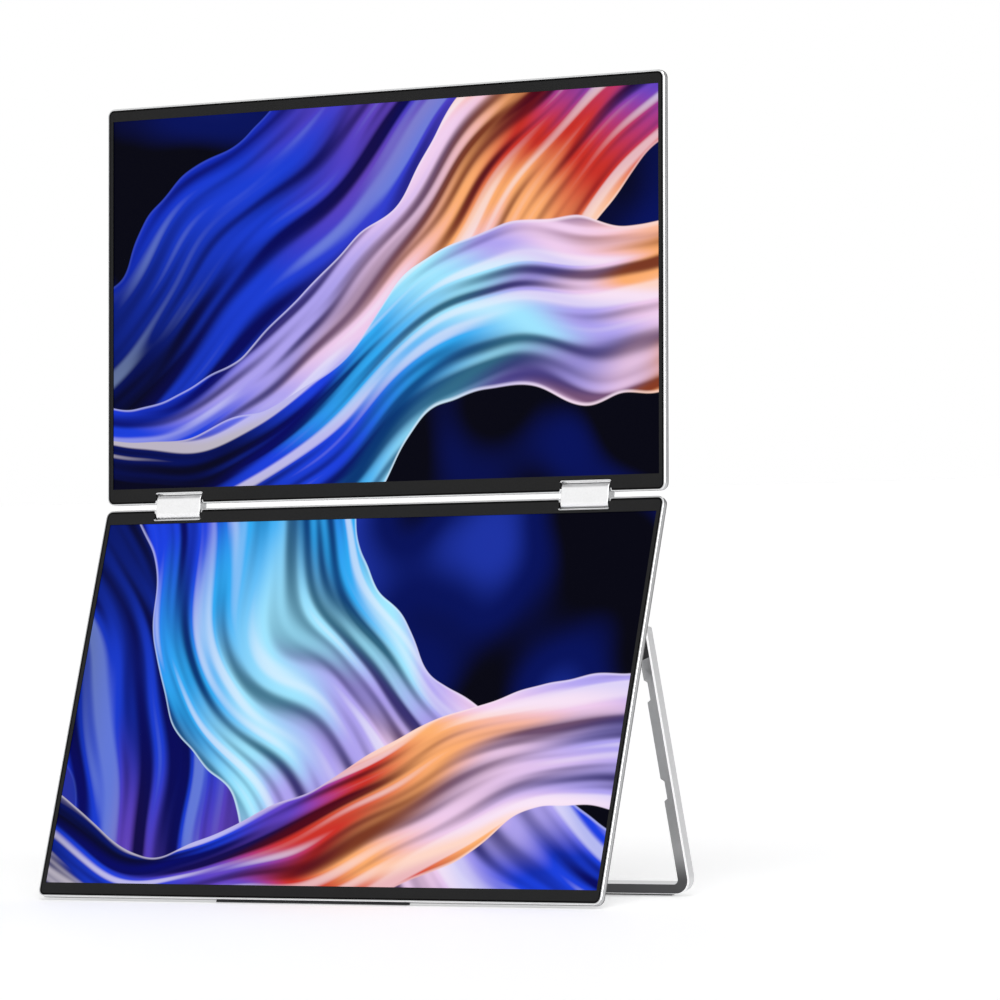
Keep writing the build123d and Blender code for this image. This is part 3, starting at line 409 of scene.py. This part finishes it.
# each picture's ribbons from back to front, in units of half the screen's height, turn in degrees
pictures = {
    "lower": dict(
        glow=[(0.0, black), (0.42, black), (0.52, nightBlue), (0.66, inkBlue), (0.8, wine),
              (1.0, nightBlue)],
        glowSeed=4.0, ribbons=[
            dict(backSatin, turn=-58, bend=0.20, rate=1.1, phase=0.6, warp=0.45, folds=2.6, middle=-1.15,
                 half=0.62, wave=0.5, seed=11.0, hue=0.50, hueRate=0.20, hueFold=0.7, gain=0.85,
                 stops=[(0.0, nightBlue), (0.4, royalBlue), (0.6, violet), (0.8, royalBlue), (1.0, skyCyan)]),
            dict(middleSatin, turn=-44, bend=0.26, rate=1.2, phase=1.3, warp=0.5, folds=3.0, middle=0.02,
                 half=0.66, wave=0.55, seed=23.0, hue=0.50, hueRate=0.26, hueFold=0.8,
                 stops=[(0.0, royalBlue), (0.22, skyCyan), (0.42, iceBlue), (0.56, lilac), (0.72, paleRose),
                        (0.86, lilac), (1.0, royalBlue)]),
            dict(frontSatin, turn=7, bend=0.24, rate=1.35, phase=2.5, warp=0.45, folds=3.6, middle=-0.66,
                 half=0.36, wave=0.45, seed=37.0, hue=0.52, hueRate=0.28, hueFold=0.8,
                 stops=[(0.0, nightBlue), (0.2, royalBlue), (0.36, violet), (0.5, emberRed), (0.64, peach),
                        (0.8, paleRose), (1.0, lilac)]),
        ]),
    "upper": dict(
        glow=[(0.0, black), (0.44, black), (0.54, nightBlue), (0.7, deepBlue), (0.85, plum),
              (1.0, nightBlue)],
        glowSeed=9.0, ribbons=[
            dict(backSatin, turn=44, bend=0.18, rate=1.1, phase=0.2, warp=0.45, folds=2.6, middle=0.52,
                 half=0.82, wave=0.6, seed=51.0, hue=0.42, hueRate=0.18, hueFold=0.8, gain=0.90,
                 stops=[(0.0, nightBlue), (0.35, royalBlue), (0.6, violet), (0.75, royalBlue),
                        (1.0, skyCyan)]),
            dict(middleSatin, turn=31, bend=0.24, rate=1.2, phase=2.0, warp=0.45, folds=3.0, middle=-0.06,
                 half=0.62, wave=0.5, seed=67.0, hue=0.47, hueRate=0.24, hueFold=0.8,
                 stops=[(0.0, royalBlue), (0.2, royalBlue), (0.36, lilac), (0.5, paleRose), (0.66, peach),
                        (0.8, emberRed), (1.0, violet)]),
            dict(frontSatin, turn=14, bend=0.26, rate=1.4, phase=3.6, warp=0.45, folds=3.4, middle=-0.62,
                 half=0.40, wave=0.45, seed=79.0, hue=0.46, hueRate=0.26, hueFold=0.8,
                 stops=[(0.0, nightBlue), (0.25, royalBlue), (0.42, skyCyan), (0.6, iceBlue), (0.76, lilac),
                        (0.88, paleRose), (1.0, peach)]),
        ]),
}

# what all ribbons share: scales of the noises, light on the folds, and widths of the border
satin = dict(glowScale=0.9, driftScale=0.62, softDetail=1.0, stretch=0.30, foldDetail=2.2, foldRoughness=0.42,
             foldSeed=3.0, fineFolds=4.2, fineSeed=5.0, besideStep=0.10, foldLight=8.0, lightLevel=0.52,
             fineLight=0.55, shadow=(0.08, 0.66), crest=(0.64, 1.0), deepShare=0.93, blackShare=0.80,
             deepBlack=(0, 0, 0.01), raggedScale=1.2, raggedDetail=1.3, maskWidth=0.008, turnWidth=0.16,
             turnShare=0.35, edgeWidths=(0.022, 0.006))


# One ribbon: s runs along it and t across it, t = turned height + bend * sin(rate * s + phase) + drift.
# Its folds are noise stretched along s. Their light is the difference of two samples side by side;
# shadows sink to a deep tone of the hue, crests rise to a pale one.
def addRibbon(tree, across, up, look):
    turn = radians(look["turn"])
    drift = cloud(tree, point(tree, across, up, look["seed"]), satin["driftScale"], satin["softDetail"])
    drift = swing(tree, drift, look["warp"] * 2)
    s = calc(tree, "MULTIPLY_ADD", across, cos(turn), calc(tree, "MULTIPLY", up, sin(turn)))
    t = calc(tree, "MULTIPLY_ADD", across, -sin(turn), calc(tree, "MULTIPLY", up, cos(turn)))
    wave = calc(tree, "SINE", calc(tree, "MULTIPLY_ADD", s, look["rate"], look["phase"]))
    t = calc(tree, "ADD", calc(tree, "MULTIPLY_ADD", wave, look["bend"], t), drift)
    along = calc(tree, "MULTIPLY", s, satin["stretch"])

    def fold(offset, rate, seed, detail):
        place = point(tree, along, calc(tree, "MULTIPLY_ADD", t, rate, offset), look["seed"] + seed)
        return cloud(tree, place, 1.0, detail, satin["foldRoughness"])

    here = fold(0.0, look["folds"], satin["foldSeed"], satin["foldDetail"])
    beside = fold(satin["besideStep"], look["folds"], satin["foldSeed"], satin["foldDetail"])
    fine = fold(0.0, look["folds"] * satin["fineFolds"], satin["fineSeed"], satin["softDetail"])
    slope = calc(tree, "SUBTRACT", beside, here)
    light = calc(tree, "MULTIPLY_ADD", slope, satin["foldLight"], satin["lightLevel"])
    light = swing(tree, fine, satin["fineLight"], light, clamp=True)

    hue = calc(tree, "MULTIPLY_ADD", s, look["hueRate"], look["hue"])
    colour = ramp(tree, swing(tree, here, look["hueFold"], hue), look["stops"])
    squared = blendColour(tree, 1.0, colour, colour, "MULTIPLY")
    deep = blendColour(tree, satin["deepShare"], colour, squared)
    deep = blendColour(tree, satin["blackShare"], deep, (*satin["deepBlack"], 1))
    pale = blendColour(tree, look["paleShare"], colour, (*look["paleTint"], 1))
    tone = blendColour(tree, between(tree, light, *satin["shadow"]), deep, colour)
    tone = blendColour(tree, between(tree, light, *satin["crest"]), tone, pale)

    ragged = point(tree, calc(tree, "MULTIPLY", s, satin["raggedScale"]), look["seed"], 0.0)
    ragged = swing(tree, cloud(tree, ragged, 1.0, satin["raggedDetail"]), look["wave"])
    away = calc(tree, "ABSOLUTE", calc(tree, "ADD", calc(tree, "SUBTRACT", t, look["middle"]), ragged))
    inside = calc(tree, "SUBTRACT", look["half"], away)
    turned = calc(tree, "MULTIPLY", between(tree, inside, satin["turnWidth"], 0.0), satin["turnShare"])
    tone = blendColour(tree, turned, tone, pale, "SOFT_LIGHT")
    line = calc(tree, "MULTIPLY", between(tree, inside, *satin["edgeWidths"]), look["edge"])
    tone = blendColour(tree, line, tone, pale)
    lit = addNode(tree, "ShaderNodeVectorMath", operation="SCALE")
    plug(tree, tone, lit.inputs[0])
    lit.inputs["Scale"].default_value = look["gain"]
    return lit.outputs[0], between(tree, inside, 0.0, satin["maskWidth"])


# the glow, the ribbons laid over it, and black outside the visible area
def makePictureGroup(name, look):
    tree, given, out = newGroup(name, [("Vector", "NodeSocketVector", None)], [("Color", "NodeSocketColor")])
    place = apart(tree, given.outputs["Vector"])
    across, up = (calc(tree, "DIVIDE", place[axis], screenSize[1] / 2) for axis in ("X", "Z"))
    glow = cloud(tree, point(tree, across, up, look["glowSeed"]), satin["glowScale"], satin["softDetail"])
    picture = ramp(tree, glow, look["glow"])
    for ribbon in look["ribbons"]:
        colour, mask = addRibbon(tree, across, up, ribbon)
        picture = blendColour(tree, mask, picture, colour)
    shown = 1.0
    for axis, size in zip(("X", "Z"), screenSize):
        within = calc(tree, "LESS_THAN", calc(tree, "ABSOLUTE", place[axis]), size / 2)
        shown = calc(tree, "MULTIPLY", shown, within)
    plug(tree, blendColour(tree, shown, (0, 0, 0, 1), picture), out.inputs["Color"])
    return tree


for side, look in pictures.items():
    material, tree, shader, where = newMaterial(
        side + "Picture", roughness=screenGlass["roughness"], colour=screenGlass["colour"])
    group = makePictureGroup(side + "Ribbons", look)
    shown = useGroup(tree, group, Vector=panelPlace(tree, where, side + "_lcd_panel", leans[side]))
    plug(tree, shown.outputs["Color"], shader.inputs["Emission Color"])
    shader.inputs["Emission Strength"].default_value = screenGlass["brightness"]
    shader.inputs["Specular IOR Level"].default_value = screenGlass["specular"]
    materials[side + "Picture"] = material
print("pictures made")


# which finish each node of the frame takes

dressing = {
    "lowerTray": ["lower_shell"],
    "upperTray": ["upper_shell"],
    "housingAluminium": ["housing_frame", "rear_cover", "hinge_cap_left", "hinge_cap_right"],
    "kickstandAluminium": ["kickstand_frame"],
    "hingeAluminium": ["hinge_block_left", "hinge_block_right"],
    "lowerBezelBlack": ["lower_bezel"],
    "upperBezelBlack": ["upper_bezel"],
    "lowerPicture": ["lower_lcd_panel"],
    "upperPicture": ["upper_lcd_panel"],
    "backlightWhite": ["lower_backlight", "upper_backlight"],
    "hingeSteel": ["lower_hinge_bracket_left", "lower_hinge_bracket_right", "upper_hinge_bracket_left",
                   "upper_hinge_bracket_right", "lower_hinge_shafts", "upper_hinge_shafts", "hinge_core_left",
                   "hinge_core_right", "lower_friction_washers", "upper_friction_washers", "lower_shaft_nuts",
                   "upper_shaft_nuts", "lower_bracket_screws", "upper_bracket_screws", "cover_screws",
                   "board_screws", "kick_base_screws", "hinge_end_plates", "kickstand_shafts",
                   "kickstand_shaft_nuts"],
    "blackSteel": ["kickstand_leaf_left", "kickstand_leaf_right", "kickstand_leaf_screws",
                   "kick_hinge_base_left", "kick_hinge_base_right"],
    "mountBrass": ["vesa_inserts"],
    "bushingCopper": ["kickstand_bushings"],
    "socketShell": ["usb_c_ports", "mini_hdmi_ports"],
    "footRubber": ["edge_foot", "kickstand_rubber_strips"],
    "padRubber": ["rear_feet"],
    "boardGreen": ["upper_driver_board", "lower_driver_board", "key_board"],
    "mouldedBlack": ["jog_switches", "jog_slide_top", "jog_slide_bottom"],
    "leverSilver": ["jog_lever_top", "jog_lever_bottom"],
    "flatCable": ["key_ribbon"],
    "lightPipe": ["status_light_pipes"],
}
dressed = set()
for finishName, names in dressing.items():
    for name in names:
        slots = nodes[name].material_slots
        for slot in slots:
            slot.material = materials[finishName]
        if not slots:
            nodes[name].data.materials.append(materials[finishName])
        dressed.add(name)
print("nodes without a finish:", sorted(set(nodes) - dressed))


# small pieces that the frame's solids have only as plain rods and slots

# the leaning parts' own frames start at the lower hinge axis and at the kickstand's axis
joints = {joint["name"]: joint for joint in frame["joints"]}
origins = {"lower": joints["hinge_link_tilt"]["pos_m"], "kickstand": joints["kickstand_swing"]["pos_m"]}


# a part's own frame has x across, y into its back and z up it; its points are turned by its lean, then moved
def fromPart(points, part):
    lean = radians(leans[part])
    turn = np.array([[1, 0, 0], [0, cos(lean), sin(lean)], [0, -sin(lean), cos(lean)]])
    return points @ turn.T + np.array(origins[part])


# points of a turned shape, rows by angles: x = radius * cos(angle), y = depth, z = radius * sin(angle)
def turnedShape(radius, depth, angle):
    return np.stack([radius * np.cos(angle), depth + 0 * angle, radius * np.sin(angle)], axis=-1)


# faces of a grid of rows and columns: round in its columns, and in its rows too or with fans at both ends
def gridFaces(rows, columns, ring):
    row = np.arange(rows if ring else rows - 1)[:, None] * columns
    nextRow = (row + columns) % (rows * columns)
    column = np.arange(columns)[None, :]
    nextColumn = (column + 1) % columns
    corners = (row + column, row + nextColumn, nextRow + nextColumn, nextRow + column)
    quads = np.stack(np.broadcast_arrays(*corners), axis=-1).reshape(-1, 4).tolist()
    if ring:
        return quads
    column, nextColumn = column[0], nextColumn[0]
    lastRow = (rows - 1) * columns
    first, last = rows * columns, rows * columns + 1
    firstFan = np.stack([np.full(columns, first), nextColumn, column], axis=-1)
    lastFan = np.stack([np.full(columns, last), column + lastRow, nextColumn + lastRow], axis=-1)
    return quads + firstFan.tolist() + lastFan.tolist()


# one object from copies of a grid; its faces are turned over where its volume, the sum of a . (b x c) over
# its triangles, comes out negative
def makePiece(name, copies, faces, material, body, sharp):
    triangles = np.array([f[:3] for f in faces] + [[f[0], f[2], f[3]] for f in faces if len(f) == 4])
    a, b, c = (copies[0][triangles[:, k]] - copies[0].mean(0) for k in range(3))
    if np.einsum("ij,ij->i", a, np.cross(b, c)).sum() < 0:
        faces = [f[::-1] for f in faces]
    count = len(copies[0])
    allFaces = [[corner + k * count for corner in f] for k in range(len(copies)) for f in faces]
    mesh = bpy.data.meshes.new(name)
    mesh.from_pydata(np.concatenate(copies).tolist(), [], allFaces)
    mesh.shade_smooth()
    mesh.set_sharp_from_angle(angle=radians(sharp))
    mesh.materials.append(material)
    piece = bpy.data.objects.new(name, mesh)
    scene.collection.objects.link(piece)
    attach(piece, body)
    return piece


# Threaded inserts of the monitor mount. The profile runs up the bore and back down the outside:
# bore radius = core + depth * |2 * fraction(height / pitch - angle / turn) - 1|, opened by a chamfer
# at both ends; outside radius = outer - knurl * half a cosine wave in two bands.
inserts = dict(core=0.00162, threadDepth=0.00038, pitch=0.0007, mouth=0.00205, outer=0.0028, knurl=0.00012,
               lobes=18, length=0.0048, front=0.0088, across=0.0375, heights=(-0.0705, -0.1455),
               columns=72, perPitch=8, endBevel=0.0001, sharp=50,
               # down the outside: place as a share of the length, and 1 where it is knurled
               outside=[(1.0, 0), (0.98, 0), (0.9, 0), (0.88, 1), (0.62, 1), (0.60, 0), (0.52, 0), (0.50, 1),
                        (0.16, 1), (0.14, 0), (0.02, 0), (0.0, 0)])


def makeInserts(look):
    angle = np.linspace(0, 2 * np.pi, look["columns"], endpoint=False)[None, :]
    up = np.linspace(0, look["length"], int(look["length"] / look["pitch"] * look["perPitch"]))[:, None]
    thread = np.abs(2 * np.mod(up / look["pitch"] - angle / (2 * np.pi), 1.0) - 1)
    bore = look["core"] + look["threadDepth"] * thread
    bore = np.maximum(bore, look["mouth"] - np.minimum(up, look["length"] - up))
    share, knurled = np.array(look["outside"]).T[:, :, None]
    ends = np.where((share == 0) | (share == 1), look["endBevel"], 0)
    wave = 0.5 + 0.5 * np.cos(look["lobes"] * angle)
    outside = look["outer"] - ends - knurled * look["knurl"] * wave
    height = np.concatenate([up, look["length"] * share])
    shape = turnedShape(np.concatenate([bore, outside]), look["front"] - look["length"] + height, angle)
    faces = gridFaces(shape.shape[0], shape.shape[1], True)
    copies = [fromPart(shape.reshape(-1, 3) + (side * look["across"], 0, z), "lower")
              for side in (-1, 1) for z in look["heights"]]
    piece = makePiece("mountThreads", copies, faces, materials["mountBrass"], "lower_monitor",
                      look["sharp"])
    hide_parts("vesa_inserts")


makeInserts(inserts)


# Screws of the kickstand's leaves. Head = a polar grid from its middle, sunk by the cross recess where the
# smaller of |x| and |z| is under the slot's half width and the larger under its half length.
leafScrews = dict(head=0.0014, headHeight=0.0005, shank=0.0008, length=0.0032, front=-0.00285, across=0.17008,
                  heights=(-0.0052, -0.0092), slotHalf=0.00017, slotReach=0.00082, slotDepth=0.00038,
                  slotWall=0.00005, slotEnd=0.00012, rounding=0.00010, roundPower=6, firstRing=0.03,
                  shankMiddle=0.5, tipFrom=0.9, tipShare=0.6, columns=96, rings=26, sharp=30)


def makeLeafScrews(look):
    angle = np.linspace(0, 2 * np.pi, look["columns"], endpoint=False)[None, :]
    share = np.linspace(look["firstRing"], 1.0, look["rings"])[:, None]
    ring = share * look["head"]
    x, z = np.abs(ring * np.cos(angle)), np.abs(ring * np.sin(angle))
    narrow = np.clip((look["slotHalf"] - np.minimum(x, z)) / look["slotWall"] + 0.5, 0, 1)
    reach = np.clip((look["slotReach"] - np.maximum(x, z)) / look["slotEnd"] + 0.5, 0, 1)
    sunk = narrow * reach * look["slotDepth"] + look["rounding"] * share ** look["roundPower"]
    below = np.array([(look["head"], look["headHeight"]), (look["shank"], look["headHeight"]),
                      (look["shank"], look["length"] * look["shankMiddle"]),
                      (look["shank"], look["length"] * look["tipFrom"]),
                      (look["shank"] * look["tipShare"], look["length"])])
    radius = np.concatenate([ring, below[:, :1]])
    depth = np.concatenate([sunk, below[:, 1:] + 0 * angle]) + look["front"]
    shape = turnedShape(radius, depth, angle)
    faces = gridFaces(shape.shape[0], shape.shape[1], False)
    poles = [(0, look["front"] + look["slotDepth"], 0), (0, look["front"] + look["length"], 0)]
    shape = np.concatenate([shape.reshape(-1, 3), poles])
    copies = [fromPart(shape + (side * look["across"], 0, z), "kickstand")
              for side in (-1, 1) for z in look["heights"]]
    piece = makePiece("leafCrossScrews", copies, faces, materials["blackSteel"], "kickstand",
                      look["sharp"])
    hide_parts("kickstand_leaf_screws")


makeLeafScrews(leafScrews)


# Contact strips on the sockets' tongues. A strip is an arched section carried along x: half height =
# rise * sqrt(|sin(angle)|), half width = halfWidth * |cos(angle)|, both smaller towards its two ends.
contacts = dict(mouth=-0.16398, halfWidth=0.00012, rise=0.00004, stations=9, section=8, endSlope=8,
                endWidth=0.6, endRise=0.3, sharp=60, sockets=[
                    dict(rows=(-0.1025, -0.153481), y=0.00663, half=0.00035, pitch=0.0005, counts=(12, 12),
                         start=0.0013, length=0.0034),
                    dict(rows=(-0.1188, -0.169781), y=0.0066, half=0.0004, pitch=0.0008, counts=(10, 9),
                         start=0.0014, length=0.0036)])


def makeContacts(look):
    around = np.linspace(0, 2 * np.pi, look["section"], endpoint=False)[None, :]
    along = np.linspace(0, 1, look["stations"])[:, None]
    lift = np.minimum(1, np.minimum(along, 1 - along) * look["endSlope"])
    width = look["halfWidth"] * (look["endWidth"] + (1 - look["endWidth"]) * lift)
    rise = look["rise"] * (look["endRise"] + (1 - look["endRise"]) * lift)
    across = width * np.cos(around)
    high = rise * np.sign(np.sin(around)) * np.sqrt(np.abs(np.sin(around)))
    copies = []
    for socket in look["sockets"]:
        start = look["mouth"] + socket["start"]
        strip = np.stack([start + socket["length"] * along + 0 * around, high, across], axis=-1)
        ends = [(start, 0, 0), (start + socket["length"], 0, 0)]
        strip = np.concatenate([strip.reshape(-1, 3), ends])
        for row in socket["rows"]:
            for face, count in zip((1, -1), socket["counts"]):
                for k in range(count):
                    place = (0, socket["y"] + face * socket["half"],
                             row + (k - (count - 1) / 2) * socket["pitch"])
                    copies.append(fromPart(strip + place, "lower"))
    faces = gridFaces(look["stations"], look["section"], False)
    makePiece("portContacts", copies, faces, materials["contactGold"], "lower_monitor",
              look["sharp"])


makeContacts(contacts)
print("threads, screws and contacts made")


# floor, lights and world

studio = {
    "floorColour": (0.86, 0.86, 0.865), "floorRoughness": 0.6, "floorSpecular": 0.1, "floorReach": 40.0,
    "floorDrop": 0.0004, "floorLift": 0.33, "worldFill": 0.60,
    # dimmer patches of the surroundings, as flags beside the softboxes: direction, from, to, brightness
    "flags": [((-0.45, -0.30, 0.84), 0.83, 0.93, 0.36), ((0.0, 1.0, 0.0), 0.64, 0.97, 0.15)],
    "key": dict(place=(1.3, -1.7, 2.4), strength=1.15, angle=32.0),
    "side": dict(place=(2.2, -1.3, 0.6), strength=0.40, angle=25.0),
}


# 1 for a ray from the camera, off a glossy surface or through glass, else 0
def seesBackdrop(tree):
    path = addNode(tree, "ShaderNodeLightPath")
    total = calc(tree, "ADD", path.outputs["Is Camera Ray"], path.outputs["Is Glossy Ray"])
    return calc(tree, "ADD", total, path.outputs["Is Transmission Ray"], clamp=True)


# white all round for the camera; what shines sees the dimmer flags in it as well
world = bpy.data.worlds.new("studioWorld")
scene.world = world
world.use_nodes = True
tree = world.node_tree
background = tree.nodes["Background"]
direction = addNode(tree, "ShaderNodeTexCoord").outputs["Generated"]
white = (1, 1, 1, 1)
tone = white
for towards, start, full, brightness in studio["flags"]:
    flag = between(tree, dotWith(tree, direction, Vector(towards).normalized()), start, full)
    tone = blendColour(tree, flag, tone, (brightness, brightness, brightness, 1))
tone = blendColour(tree, addNode(tree, "ShaderNodeLightPath").outputs["Is Camera Ray"], tone, white)
plug(tree, tone, background.inputs["Color"])
level = calc(tree, "MULTIPLY_ADD", seesBackdrop(tree), 1.0 - studio["worldFill"], studio["worldFill"])
plug(tree, level, background.inputs["Strength"])

reach = studio["floorReach"]
floorMesh = bpy.data.meshes.new("floor")
floorMesh.from_pydata([(-reach, -reach, 0), (reach, -reach, 0), (reach, reach, 0), (-reach, reach, 0)], [],
                      [(0, 1, 2, 3)])
floor = bpy.data.objects.new("floor", floorMesh)
scene.collection.objects.link(floor)
floor.location.z = -studio["floorDrop"]
material, tree, shader, where = newMaterial(
    "paleFloor", roughness=studio["floorRoughness"], colour=studio["floorColour"])
shader.inputs["Specular IOR Level"].default_value = studio["floorSpecular"]
shader.inputs["Emission Color"].default_value = white
lift = calc(tree, "MULTIPLY", seesBackdrop(tree), studio["floorLift"])
plug(tree, lift, shader.inputs["Emission Strength"])
floorMesh.materials.append(material)

for lampName in ("key", "side"):
    look = studio[lampName]
    data = bpy.data.lights.new(lampName + "Lamp", "SUN")
    data.energy = look["strength"]
    data.angle = radians(look["angle"])
    lamp = bpy.data.objects.new(lampName + "Lamp", data)
    scene.collection.objects.link(lamp)
    lamp.location = look["place"]
    lamp.rotation_euler = (-Vector(look["place"])).to_track_quat("-Z", "Y").to_euler()

# camera at the photograph's angle

view = {"azimuth": 35.01, "pitch": -0.31, "roll": -1.82, "distance": 3.2658, "across": -0.06261,
        "up": -0.0026, "origin": (0.0, 0.0232491, 0.198229), "lens": 230.76, "sensor": 36.0, "clipEnd": 60.0}
azimuth, pitch, roll = (radians(view[k]) for k in ("azimuth", "pitch", "roll"))
forward = Vector((-sin(azimuth) * cos(pitch), cos(azimuth) * cos(pitch), sin(pitch)))
right = Vector((cos(azimuth), sin(azimuth), 0.0))
upward = right.cross(forward)
rightRolled = right * cos(roll) + upward * sin(roll)
upRolled = upward * cos(roll) - right * sin(roll)
place = Vector(view["origin"]) - forward * view["distance"]
place -= rightRolled * view["across"] + upRolled * view["up"]
cameraData = bpy.data.cameras.new("camera")
cameraData.lens = view["lens"]
cameraData.sensor_width = view["sensor"]
cameraData.clip_end = view["clipEnd"]
camera = bpy.data.objects.new("camera", cameraData)
scene.collection.objects.link(camera)
turn = Matrix((rightRolled, upRolled, -forward)).transposed()
camera.matrix_world = Matrix.Translation(place) @ turn.to_4x4()
scene.camera = camera
scene.view_settings.view_transform = "Standard"
print("studio and camera set")
